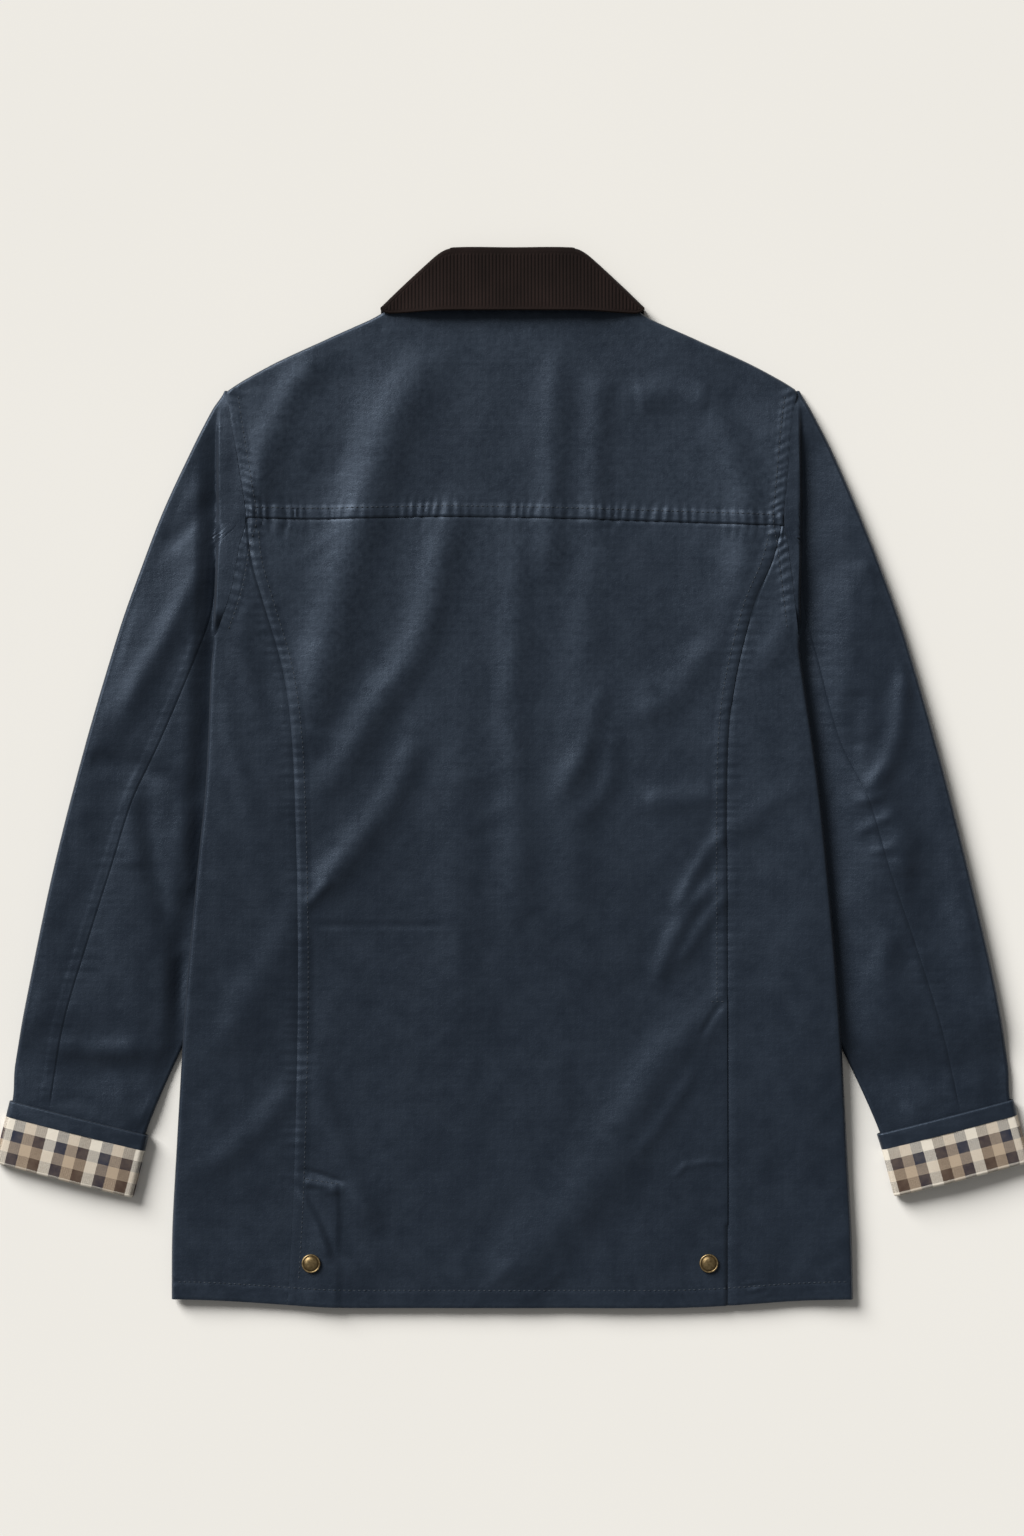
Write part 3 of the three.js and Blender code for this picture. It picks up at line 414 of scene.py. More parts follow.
def lapped_edge(away, lift):
    """Return the raised band of a seam allowance, with its rounded edge and stitch groove."""
    band = smooth(away / 1.2) * (1 - smooth((away - 8) / 3.5))
    groove = np.exp(-(((away - 8) / 0.9) ** 2))
    return lift * band - 0.22 * groove


def under_edge(away, depth):
    """Return the dip of a panel that goes under its neighbour's edge."""
    return -depth * (1 - smooth(away / 2.2))


def seam_distances(x, y):
    """Return how far each point is from the yoke, princess and armhole seams."""
    princess_away = np.abs(x) - per_side(x, lambda side: np.abs(princess[side](y)))
    slope = per_side(x, lambda side: princess[side](y + 2) - princess[side](y - 2)) / 4
    princess_away = princess_away / np.sqrt(1 + slope * slope)
    hole = per_side(x, lambda side: np.abs(armhole[side](np.maximum(y, UNDERARM_Y))))
    return y - yoke_seam(x), princess_away, hole - np.abs(x)


def back_relief(x, y, sizes):
    """Return the sewn and creased relief of the back, over its smooth height."""
    yoke_away, princess_away, hole_away = seam_distances(x, y)
    on_yoke = yoke_away > 0
    lift = sizes.seam_lift
    gather = sizes.pucker
    relief = folds_at(x, y, VENT_CREASES)
    relief = relief + 0.8 * noise(x / 46, y / 70, 2) + 0.3 * noise(x / 18, y / 26, 3)
    relief = relief + 0.09 * noise(x / 7, y / 8, 4)
    in_body = np.where(y > UNDERARM_Y, smooth((hole_away + 0.5) / 2), 1)
    yoke_side = lapped_edge(yoke_away, lift) + puckers(x, yoke_away, 0.7 * gather, 5)
    below = under_edge(-yoke_away, 0.5) + puckers(x, -yoke_away, 0.62 * gather, 5)
    relief = relief + in_body * np.where(on_yoke, yoke_side, below)
    sewn_to = np.where(x < 0, VENTS[0][3], FREE_EDGE_TOP)
    sewn = smooth((y - sewn_to) / 8)
    drawn = gather * (0.1 + 0.9 * sewn)
    centre = lapped_edge(-princess_away, lift * (0.25 + 0.75 * sewn)) + puckers(y, -princess_away, 0.37 * drawn, 8, 5)
    free = per_side(x, lambda side: UNDER_DEPTH[side])
    side = under_edge(princess_away, blend(free, 0.6, sewn)) + puckers(y, princess_away, 0.25 * drawn, 8, 6)
    by_princess = np.where(princess_away < 0, centre, side)
    inner, top = VENTS[0][2:]
    covered = smooth((inner - x) / 2.5) * smooth((top - y) / 4) * smooth(-princess_away / 26)
    by_princess = by_princess + 1.1 * covered * (x < 0)
    relief = relief + np.where(on_yoke, 0, by_princess)
    above_arm = smooth((y - UNDERARM_Y) / 14)
    at_hole = lapped_edge(hole_away, 0.5 * lift) + puckers(y + 0.5 * hole_away, hole_away, 0.4 * gather, 12, 7)
    relief = relief + above_arm * at_hole
    hem_away = y - hem(x)
    at_hem = -0.25 * np.exp(-(((hem_away - 14) / 0.9) ** 2))
    at_hem = at_hem + 0.2 * (1 - smooth((hem_away - 13) / 3))
    at_hem = at_hem + puckers(x + 0.7 * hem_away, hem_away - 9, 0.45 * gather, 15)
    at_hem = at_hem - 0.5 * (1 - smooth(hem_away / 1.6))
    return relief + at_hem


def back_top(x, y, sizes):
    """Return the height of the back's outer face."""
    raw = back_base(x, y) + back_relief(x, y, sizes)
    return np.maximum(raw, front_top(x, y) + SEAM + sizes.cloth)


def graded(edges, steps):
    """Return rising values through the edges, with a step length for each stretch."""
    values = [edges[0]]
    for low, high, step in zip(edges, edges[1:], steps):
        count = max(1, int(math.ceil((high - low) / step)))
        values.extend(blend(low, high, (i + 1) / count) for i in range(count))
    return np.array(values)


def points(x, y, z):
    """Stack three grids into one grid of points."""
    return np.stack(np.broadcast_arrays(x, y, z), axis=-1).astype(float)


def strip_area(grid, present):
    """Return the area of a grid of points, and its greatest length along rows and columns."""
    across = grid[:, 1:] - grid[:, :-1]
    down = grid[1:] - grid[:-1]
    cells = np.linalg.norm(np.cross(across[:-1], down[:, :-1]), axis=-1)
    wide = np.linalg.norm(across, axis=-1)[:-1]
    long = np.linalg.norm(down, axis=-1)[:, :-1]
    width = np.where(present, wide, 0).sum(axis=1).max()
    length = np.where(present, long, 0).sum(axis=0).max()
    return np.where(present, cells, 0).sum(), width, length


def wall(name, outer, inner, present=None, flat=None, wear_and_painted_light=None, ring=False):
    """Make a closed thin wall from two grids of points, and return its object."""
    rows, columns = outer.shape[:2]
    if present is None:
        present = np.ones((rows - 1, columns - 1), dtype=bool)
    padded = np.zeros((rows + 1, columns + 1), dtype=bool)
    padded[1:-1, 1:-1] = present
    if ring:
        padded[1:-1, 0] = present[:, -1]
        padded[1:-1, -1] = present[:, 0]
    index = np.arange(rows * columns).reshape(rows, columns)
    if ring:
        index[:, -1] = index[:, 0]
    lower = index + rows * columns
    r, c = np.nonzero(present)
    a, b, d, e = index[r, c], index[r, c + 1], index[r + 1, c + 1], index[r + 1, c]
    p, q, s, t = lower[r, c], lower[r, c + 1], lower[r + 1, c + 1], lower[r + 1, c]
    quads = [np.stack((a, b, d, e), 1), np.stack((p, t, s, q), 1)]
    rims = (
        (padded[r, c + 1], (a, p, q, b)),
        (padded[r + 2, c + 1], (e, d, s, t)),
        (padded[r + 1, c], (a, e, t, p)),
        (padded[r + 1, c + 2], (b, q, s, d)),
    )
    for neighbour, corners in rims:
        quads.append(np.stack(corners, 1)[~neighbour])
    faces = np.concatenate(quads)
    places = np.concatenate((outer.reshape(-1, 3), inner.reshape(-1, 3)))
    used, faces = np.unique(faces, return_inverse=True)
    faces = faces.reshape(-1, 4)
    volume = 0.0
    corners = places[used][faces]
    for i, j, k in ((0, 1, 2), (0, 2, 3)):
        volume += np.einsum("ij,ij->i", corners[:, i], np.cross(corners[:, j], corners[:, k])).sum()
    if volume < 0:
        faces = faces[:, ::-1]
    mesh = bpy.data.meshes.new(name)
    mesh.from_pydata((places[used] * MM).tolist(), [], faces.tolist())
    if flat is not None:
        both = np.concatenate((flat.reshape(-1, 2), flat.reshape(-1, 2)))[used]
        layer = mesh.uv_layers.new(name="cloth")
        loops = np.zeros(len(mesh.loops), dtype=np.int32)
        mesh.loops.foreach_get("vertex_index", loops)
        layer.data.foreach_set("uv", (both[loops] * MM).astype(np.float32).ravel())
    if wear_and_painted_light is not None:
        # A point attribute of how pale each piece is painted: its wear, and on the back and the corduroy also painted
        # highlight and painted shade.
        attribute = mesh.attributes.new("wear_and_painted_light", "FLOAT", "POINT")
        both = np.concatenate((wear_and_painted_light.ravel(), np.zeros(wear_and_painted_light.size)))[used]
        attribute.data.foreach_set("value", both.astype(np.float32))
    mesh.shade_smooth()
    mesh.set_sharp_from_angle(angle=math.radians(50))
    mesh.validate()
    piece = bpy.data.objects.new(name, mesh)
    bpy.context.scene.collection.objects.link(piece)
    area, width, length = strip_area(outer, present)
    piece["cut"] = [width * MM, length * MM, area * MM * MM]
    return piece


def settle(piece, nodes, material):
    """Let a cloth piece stand for its solids: attach it to the body, hide the solids and give it its material."""
    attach(piece, BODY)
    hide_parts(*nodes)
    piece.data.materials.append(material)
    return piece


# Materials


class Nodes:
    """A small helper that adds and joins shader nodes."""

    def __init__(self, name):
        self.material = bpy.data.materials.new(name)
        self.material.use_nodes = True
        self.tree = self.material.node_tree
        self.shader = self.tree.nodes["Principled BSDF"]

    def add(self, kind, **settings):
        """Add a node and set its properties."""
        node = self.tree.nodes.new(kind)
        for key, value in settings.items():
            setattr(node, key, value)
        return node

    def link(self, source, target):
        """Join an output to an input."""
        self.tree.links.new(source, target)

    def value(self, source, target):
        """Put a number or an output into an input."""
        if isinstance(source, bpy.types.NodeSocket):
            self.link(source, target)
        else:
            target.default_value = source

    def math(self, operation, a, b=0.0, clamp=False):
        """Return the output of a sum."""
        node = self.add("ShaderNodeMath", operation=operation, use_clamp=clamp)
        self.value(a, node.inputs[0])
        self.value(b, node.inputs[1])
        return node.outputs[0]

    def mix(self, share, a, b):
        """Return a mix of two colours."""
        node = self.add("ShaderNodeMix", data_type="RGBA")
        self.value(share, node.inputs["Factor"])
        for socket, colour in (("A", a), ("B", b)):
            target = next(i for i in node.inputs if i.name == socket and i.type == "RGBA")
            self.value(colour, target)
        return next(o for o in node.outputs if o.type == "RGBA")

    def place(self, source="Object", scale=(1, 1, 1)):
        """Return texture coordinates, stretched by a scale."""
        where = self.add("ShaderNodeTexCoord")
        node = self.add("ShaderNodeMapping")
        node.inputs["Scale"].default_value = scale
        self.link(where.outputs[source], node.inputs["Vector"])
        return node.outputs["Vector"]

    def noise(self, vector, scale, detail=3.0, roughness=0.5):
        """Return a noise texture's value."""
        node = self.add("ShaderNodeTexNoise")
        self.link(vector, node.inputs["Vector"])
        node.inputs["Scale"].default_value = scale
        node.inputs["Detail"].default_value = detail
        node.inputs["Roughness"].default_value = roughness
        return node.outputs["Fac"]

    def ramp(self, source, low, high, to_low=0.0, to_high=1.0):
        """Return a value mapped from one range to another, and clamped."""
        node = self.add("ShaderNodeMapRange")
        self.value(source, node.inputs["Value"])
        for name, number in zip(("From Min", "From Max", "To Min", "To Max"), (low, high, to_low, to_high)):
            node.inputs[name].default_value = number
        return node.outputs["Result"]

    def wave(self, vector, scale, direction, distortion=0.0):
        """Return fine parallel lines."""
        node = self.add("ShaderNodeTexWave", wave_type="BANDS", bands_direction=direction)
        self.link(vector, node.inputs["Vector"])
        node.inputs["Scale"].default_value = scale
        node.inputs["Distortion"].default_value = distortion
        return node.outputs["Fac"]

    def bump(self, height, distance, strength=1.0, normal=None):
        """Add a bump to the shader's normal, and return its output."""
        node = self.add("ShaderNodeBump")
        node.inputs["Distance"].default_value = distance
        node.inputs["Strength"].default_value = strength
        self.link(height, node.inputs["Height"])
        if normal is not None:
            self.link(normal, node.inputs["Normal"])
        self.link(node.outputs["Normal"], self.shader.inputs["Normal"])
        return node.outputs["Normal"]


def waxed_cotton(colours):
    """Return the waxed cotton: mottled navy with a close weave, paler where it is worn and where a painted highlight
    lies on the crests and towards the yoke.
    """
    n = Nodes("waxed_cotton_cloth")
    where = n.place()
    wear_and_painted_light = n.add("ShaderNodeAttribute", attribute_name="wear_and_painted_light").outputs["Fac"]
    broad = n.noise(where, 11.0, 3.0)
    blotch = n.noise(where, 60.0, 4.0, 0.6)
    mottle = n.math("ADD", n.math("MULTIPLY", broad, 0.5), n.math("MULTIPLY", blotch, 0.5))
    grit = n.noise(where, 620.0, 2.0, 0.7)
    share = n.math("ADD", n.ramp(mottle, 0.36, 0.66), n.ramp(grit, 0.3, 0.7, -0.3, 0.3), clamp=True)
    base = n.mix(share, (*colours.cloth_dark, 1), (*colours.cloth_light, 1))
    # Paler where the cloth is worn, and with a painted highlight where the back's fold crests and upper part catch
    # the light.
    worn_and_lit = n.math("MULTIPLY", wear_and_painted_light, n.ramp(n.noise(where, 220.0, 3.0), 0.3, 0.7), clamp=True)
    n.link(n.mix(worn_and_lit, base, (*colours.cloth_worn_and_lit, 1)), n.shader.inputs["Base Color"])
    n.link(n.ramp(blotch, 0.35, 0.65, 0.40, 0.52), n.shader.inputs["Roughness"])
    n.shader.inputs["Specular IOR Level"].default_value = 0.5
    n.shader.inputs["Specular Tint"].default_value = (0.58, 0.725, 0.95, 1)
    n.shader.inputs["Sheen Weight"].default_value = 0.06
    n.shader.inputs["Sheen Roughness"].default_value = 0.5
    warp = n.wave(where, 330.0, "X", 0.6)
    weft = n.wave(where, 330.0, "Y", 0.6)
    grain = n.noise(where, 750.0, 2.0, 0.7)
    cloth = n.math("ADD", n.math("MULTIPLY", warp, weft), n.math("MULTIPLY", grain, 1.6))
    first = n.bump(cloth, 0.00016, 0.5)
    n.bump(n.noise(where, 130.0, 3.0, 0.6), 0.0007, 0.35, first)
    return n.material


def corduroy(colours, sizes):
    """Return the corduroy: brushed pile on the wales, with painted shade in between."""
    n = Nodes("corduroy_cloth")
    where = n.place()
    wear_and_painted_light = n.add("ShaderNodeAttribute", attribute_name="wear_and_painted_light").outputs["Fac"]
    fuzz = n.noise(where, 900.0, 3.0, 0.7)
    patch = n.noise(n.place(scale=(1, 0.5, 1)), 38.0, 3.0)
    # Lighter on the wales over painted shade between them: partly the pile's own paler tone, partly shade painted
    # into the grooves; paler in random patches.
    lit = n.math("MULTIPLY", n.ramp(patch, 0.35, 0.7, 0.5, 1.0), wear_and_painted_light, clamp=True)
    base = n.mix(lit, (*colours.cord_dark, 1), (*colours.cord_light, 1))
    n.link(n.mix(n.ramp(fuzz, 0.55, 0.8, 0.0, 0.35), base, (*colours.cord_light, 1)), n.shader.inputs["Base Color"])
    n.shader.inputs["Roughness"].default_value = 0.95
    n.shader.inputs["Specular IOR Level"].default_value = 0.12
    n.shader.inputs["Sheen Weight"].default_value = 0.12
    n.shader.inputs["Sheen Roughness"].default_value = 0.4
    n.bump(fuzz, 0.0005, 0.6)
    return n.material


def checked_lining(colours, sizes):
    """Return a woven check of even squares in four colours, each way in the same order."""
    n = Nodes("checked_lining_cloth")
    where = n.add("ShaderNodeTexCoord").outputs["UV"]
    apart = n.add("ShaderNodeSeparateXYZ")
    n.link(where, apart.inputs[0])
    order = (colours.check_cream, colours.check_navy, colours.check_tan, colours.check_brown)
    square = sizes.check_square * MM
    soft = n.noise(n.place("UV"), 500.0, 2.0)

    def stripes(position):
        wobble = n.math("MULTIPLY", n.math("SUBTRACT", soft, 0.5), 0.0005)
        count = n.math("DIVIDE", n.math("ADD", position, wobble), square * len(order))
        turn = n.math("FRACT", count)
        ramp = n.add("ShaderNodeValToRGB")
        ramp.color_ramp.interpolation = "CONSTANT"
        n.link(turn, ramp.inputs[0])
        stops = ramp.color_ramp.elements
        while len(stops) < len(order):
            stops.new(1.0)
        for number, colour in enumerate(order):
            stops[number].position = number / len(order)
            stops[number].color = (*colour, 1)
        return ramp.outputs["Color"]

    warp = stripes(apart.outputs["X"])
    weft = stripes(apart.outputs["Y"])
    diagonal = n.math("ADD", apart.outputs["X"], apart.outputs["Y"])
    twill = n.math("FRACT", n.math("DIVIDE", diagonal, 0.0011))
    over = n.ramp(twill, 0.4, 0.6)
    cloth = n.mix(over, warp, weft)
    fade = n.ramp(n.noise(n.place("UV"), 120.0, 3.0), 0.3, 0.7, 0.0, 0.12)
    n.link(n.mix(fade, cloth, (*colours.check_tan, 1)), n.shader.inputs["Base Color"])
    n.shader.inputs["Roughness"].default_value = 0.92
    n.shader.inputs["Specular IOR Level"].default_value = 0.2
    first = n.bump(n.math("PINGPONG", twill, 0.5), 0.0002, 0.5)
    n.bump(soft, 0.0004, 0.4, first)
    return n.material


def stud_brass(colours):
    """Return antiqued brass: dark in the hollows and worn bright on the rim."""
    n = Nodes("antique_brass")
    where = n.place()
    spots = n.noise(where, 420.0, 4.0, 0.65)
    wear_and_painted_light = n.add("ShaderNodeAttribute", attribute_name="wear_and_painted_light").outputs["Fac"]
    bright = n.math("MULTIPLY", n.ramp(spots, 0.3, 0.7, 0.35, 1.0), wear_and_painted_light, clamp=True)
    n.link(n.mix(bright, (*colours.brass_dark, 1), (*colours.brass_light, 1)), n.shader.inputs["Base Color"])
    n.shader.inputs["Metallic"].default_value = 0.9
    n.link(n.ramp(spots, 0.3, 0.7, 0.3, 0.5), n.shader.inputs["Roughness"])
    n.bump(spots, 0.0002, 0.5)
    return n.material


def thread(colours):
    """Return the sewing thread: twisted, a little paler than the cloth."""
    n = Nodes("sewing_thread")
    where = n.place()
    twist = n.noise(where, 900.0, 2.0)
    n.link(n.mix(twist, (*colours.thread_dark, 1), (*colours.thread_light, 1)), n.shader.inputs["Base Color"])
    n.shader.inputs["Roughness"].default_value = 0.6
    n.bump(twist, 0.0002, 0.4)
    return n.material


def pale_floor(colours):
    """Return the floor: a plain pale surface with a barely uneven tone."""
    n = Nodes("pale_floor")
    cloud = n.noise(n.place(), 3.0, 3.0)
    light = tuple(colours.floor)
    shade = tuple(part * 0.97 for part in light)
    n.link(n.mix(cloud, (*shade, 1), (*light, 1)), n.shader.inputs["Base Color"])
    n.shader.inputs["Roughness"].default_value = 0.95
    n.shader.inputs["Specular IOR Level"].default_value = 0.1
    return n.material


def shared(name, make, *arguments):
    """Return a material by name, made the first time that it is asked for."""
    found = bpy.data.materials.get(name)
    return found if found else make(*arguments)


def settings():
    """Return the jacket's sizes and colours."""
    return bpy.context.scene.jacket_sizes, bpy.context.scene.jacket_colours


def cloth_material():
    """Return the waxed cotton, made once."""
    return shared("waxed_cotton_cloth", waxed_cotton, settings()[1])


# The back


def back_wear_and_painted_light(x, y):
    """Return how pale the back is painted: worn on the seam edges and the hem, with a painted highlight on the fold
    crests and painted light that grows towards the yoke.
    """
    yoke_away, princess_away, hole_away = seam_distances(x, y)
    edge = 0.2 * np.exp(-(((yoke_away - 1.5) / 2.2) ** 2)) * (yoke_away > 0)
    edge = edge + 0.08 * np.exp(-(((-princess_away - 1.5) / 2.2) ** 2)) * (yoke_away < 0)
    edge = edge + 0.15 * np.exp(-(((hole_away - 1.5) / 2.5) ** 2)) * (y > UNDERARM_Y)
    edge = edge + 0.45 * np.exp(-(((y - hem(x)) / 3) ** 2))
    # Wear of the fold crests together with a painted highlight on them, and painted light that grows towards the
    # yoke, mottled at random.
    crest = np.clip(folds_at(x, y, FOLDS) / 5, 0, 1) ** 1.5
    painted_light_to_top = 0.45 * smooth((y + 170) / 440) * (1 + 0.4 * noise(x / 60, y / 60, 61))
    return np.clip(edge + 0.35 * crest + painted_light_to_top, 0, 1)


def panel(name, x, y, sizes, roll=None):
    """Make a back panel from its plan grid, rolled over at its edge if that is asked."""
    outer_z = back_top(x, y, sizes)
    inner_z = np.minimum(outer_z, back_base(x, y) + 0.6) - sizes.cloth
    inner_z = np.minimum(outer_z - 0.5 * sizes.cloth, inner_z)
    outer = points(x, y, outer_z)
    inner = points(x, y, inner_z)
    if roll is not None:
        outer, inner = roll(outer, inner)
    wear_and_painted_light = back_wear_and_painted_light(outer[..., 0], outer[..., 1])
    return wall(name, outer, inner, wear_and_painted_light=wear_and_painted_light)


def rolled(outer, inner, heading, amount, end, cloth):
    """Add a rounded edge before the first row of a grid: it turns down to a given height."""
    angles = np.linspace(0, math.pi / 2, 7)[:-1]
    outer_rows = []
    inner_rows = []
    top = outer[0, :, 2]
    drop = (top - end) * amount
    for angle in angles:
        inset = EDGE_ROLL * (1 - math.cos(angle))
        down = drop * (1 - math.sin(angle))
        place = outer[0, :, :2] + heading * (EDGE_ROLL - inset)
        outer_rows.append(points(place[:, 0], place[:, 1], top - down))
        under = np.maximum(top - cloth - down * 0.9, end + 0.05)
        tucked = place - heading * (cloth * math.cos(angle) * amount[:, None])
        inner_rows.append(points(tucked[:, 0], tucked[:, 1], np.minimum(under, top - down - 0.3 * cloth)))
    return (
        np.concatenate((np.stack(outer_rows), outer)),
        np.concatenate((np.stack(inner_rows), inner)),
    )


def make_yoke(sizes):
    """Make the yoke, rolled over at the shoulders and open at the neck."""
    u = graded((0, 0.06, 0.94, 1), (0.0028, 0.0042, 0.0028))
    v = graded((0, 0.84, 1), (0.017, 0.007))
    u_grid, v_grid = np.meshgrid(u, v)
    end_y = blend(yoke_seam(-214.0), yoke_seam(217.0), u_grid)
    level = blend(TIP_Y, end_y, v_grid)
    x = blend(armhole["left"](level), armhole["right"](level), u_grid)
    edge = (u_grid == 0) | (u_grid == 1)
    top = np.where(edge, TIP_Y, shoulder(x)) - EDGE_ROLL
    y = blend(top, yoke_seam(x) + 0.1, v_grid)

    def roll(outer, inner):
        at_x = outer[0, :, 0]
        amount = smooth((np.abs(at_x) - 92) / 16)
        end = front_top(at_x, outer[0, :, 1]) + SEAM
        return rolled(outer, inner, np.array([0.0, 1.0]), amount, end, sizes.cloth)

    piece = panel("yoke_cloth", x, y, sizes, roll)
    return settle(piece, ["back_yoke"], cloth_material())


def panel_rows():
    """Return the shares down a panel, closer together at its two ends."""
    return graded((0, 0.035, 0.97, 1), (0.002, 0.0029, 0.0024))


def make_back_centre(sizes):
    """Make the centre back panel between the princess seams."""
    u = graded((0, 0.11, 0.89, 1), (0.0056, 0.0092, 0.0056))
    u_grid, v_grid = np.meshgrid(u, panel_rows())
    left = princess["left"](blend(yoke_seam(-214.0), HEM_SIDE, v_grid))
    right = princess["right"](blend(yoke_seam(217.0), HEM_SIDE, v_grid))
    x = blend(left, right, u_grid)
    y = blend(yoke_seam(x) - 0.1, hem(x), v_grid)
    piece = panel("back_cloth", x, y, sizes)
    return settle(piece, ["back_centre"], cloth_material())


def make_back_side(side, sizes):
    """Make a side panel, rolled over at its outer edge below the underarm."""
    v = panel_rows()
    u = graded((0, 0.4, 1), (0.03, 0.045))
    u_grid, v_grid = np.meshgrid(u, v, indexing="ij")
    inward = 1 if side == "left" else -1
    top_y = yoke_seam(-214.0 if side == "left" else 217.0)
    level = blend(top_y, HEM_SIDE, v_grid)
    edge = np.where(level > UNDERARM_Y, armhole[side](level), body_edge[side](level))
    seam = princess[side](level) - inward * 0.1
    width = np.abs(seam - edge)
    squeeze = np.clip(width / 20, 0.02, 1)
    x = blend(edge + inward * EDGE_ROLL * squeeze, seam, u_grid)
    y = blend(yoke_seam(x) - 0.1, hem(x), v_grid)

    def roll(outer, inner):
        at_y = outer[0, :, 1]
        amount = 1 - smooth((at_y - 96) / 22)
        end = front_top(outer[0, :, 0], at_y) + SEAM
        heading = np.stack((-inward * squeeze[0], np.zeros(len(at_y))), axis=-1)
        return rolled(outer, inner, heading, amount, end, sizes.cloth)

    piece = panel(f"side_cloth_{side}", x, y, sizes, roll)
    nodes = [f"back_side_{side}", f"vent_underlay_{side}"]
    return settle(piece, nodes[:1], cloth_material())


def make_underlay(vent, sizes):
    """Make the strip of cloth under the free edge of a vent."""
    side, seam, edge, top = vent
    inward = math.copysign(1, edge - seam)
    y, u = np.meshgrid(np.linspace(top, HEM_SIDE + 1, 30), np.linspace(0, 1, 12), indexing="ij")
    start = princess[side](y) + inward * 2
    x = blend(start, edge, u)
    lid = np.minimum(back_top(x, y, sizes), back_base(x, y)) - WALL - SEAM - 0.1
    outer = points(x, y, lid)
    inner = points(x, y, lid - 0.9)
    piece = wall(f"vent_strip_{side}", outer, inner, wear_and_painted_light=np.zeros(x.shape))
    node = f"vent_underlay_{side}"
    return settle(piece, [node], cloth_material())


def make_front(side, sizes):
    """Make a front, which lies on the floor, on the collar leaf and on the tucked sleeve."""
    inward = 1 if side == "left" else -1
    v, u = np.meshgrid(np.linspace(0, 1, 75), np.linspace(0, 1, 34), indexing="ij")
    level = blend(TIP_Y - 1, HEM_SIDE + 2, v)
    edge = np.where(
        level > UNDERARM_Y, armhole[side](level) + inward * SEAM, body_edge[side](level) + inward * 1.5
    )
    x = blend(edge, inward * 12.0, u)
    neck = np.where(np.abs(x) < 96, front_neck(np.abs(x)), shoulder(x) - 1)
    top = np.where(u == 0, level, blend(neck, hem(x) + 2, v))
    y = blend(top, level, v * v)
    bottom = front_bottom(x, y, side == "right")
    inner = points(x, y, bottom)
    outer = points(x, y, bottom + WALL)
    piece = wall(f"front_cloth_{side}", outer, inner, wear_and_painted_light=np.zeros(x.shape))
    return settle(piece, [f"front_{side}"], cloth_material())


# The sleeves


def station_levels():
    """Return the sleeve's rows: outer and inner y, evenly down its length."""
    table = np.array(STATIONS, dtype=float)
    rows = graded(sorted(-table[:, 0]), [3.0] * (len(table) - 1))
    outer = -rows
    inner = np.interp(rows, -table[:, 0], table[:, 1])
    return np.stack((outer, inner), axis=-1)


def sleeve_relief(x, y, seam_away, sizes):
    """Return the creases and seam gathers of a sleeve, whose raised side of the seam is positive."""
    relief = folds_at(x, y, SLEEVE_FOLDS)
    relief = relief + 1.1 * noise(x / 34, y / 60, 21) + 0.4 * noise(x / 15, y / 24, 22)
    relief = relief + 0.09 * noise(x / 7, y / 8, 23)
    raised = 0.4 * sizes.seam_lift * smooth(seam_away / 1.2) * (1 - smooth((seam_away - 6) / 4))
    groove = -0.2 * np.exp(-((seam_away / 0.6) ** 2))
    relief = relief + np.where(seam_away > 0, raised, 0) + groove
    gather = sizes.pucker * np.where(seam_away > 0, 0.34, 0.24)
    return relief + puckers(y, np.abs(seam_away) - 2, gather, 24, 7)


def outer_share(side, y):
    """Return how high a sleeve stands along its outer edge, as a share of its crown."""
    at_head = 0.6 if side == "left" else 1.1
    along = blend(1.3, at_head, smooth((y - 20) / 90))
    return blend(along, 0.6, smooth((-190 - y) / 40))


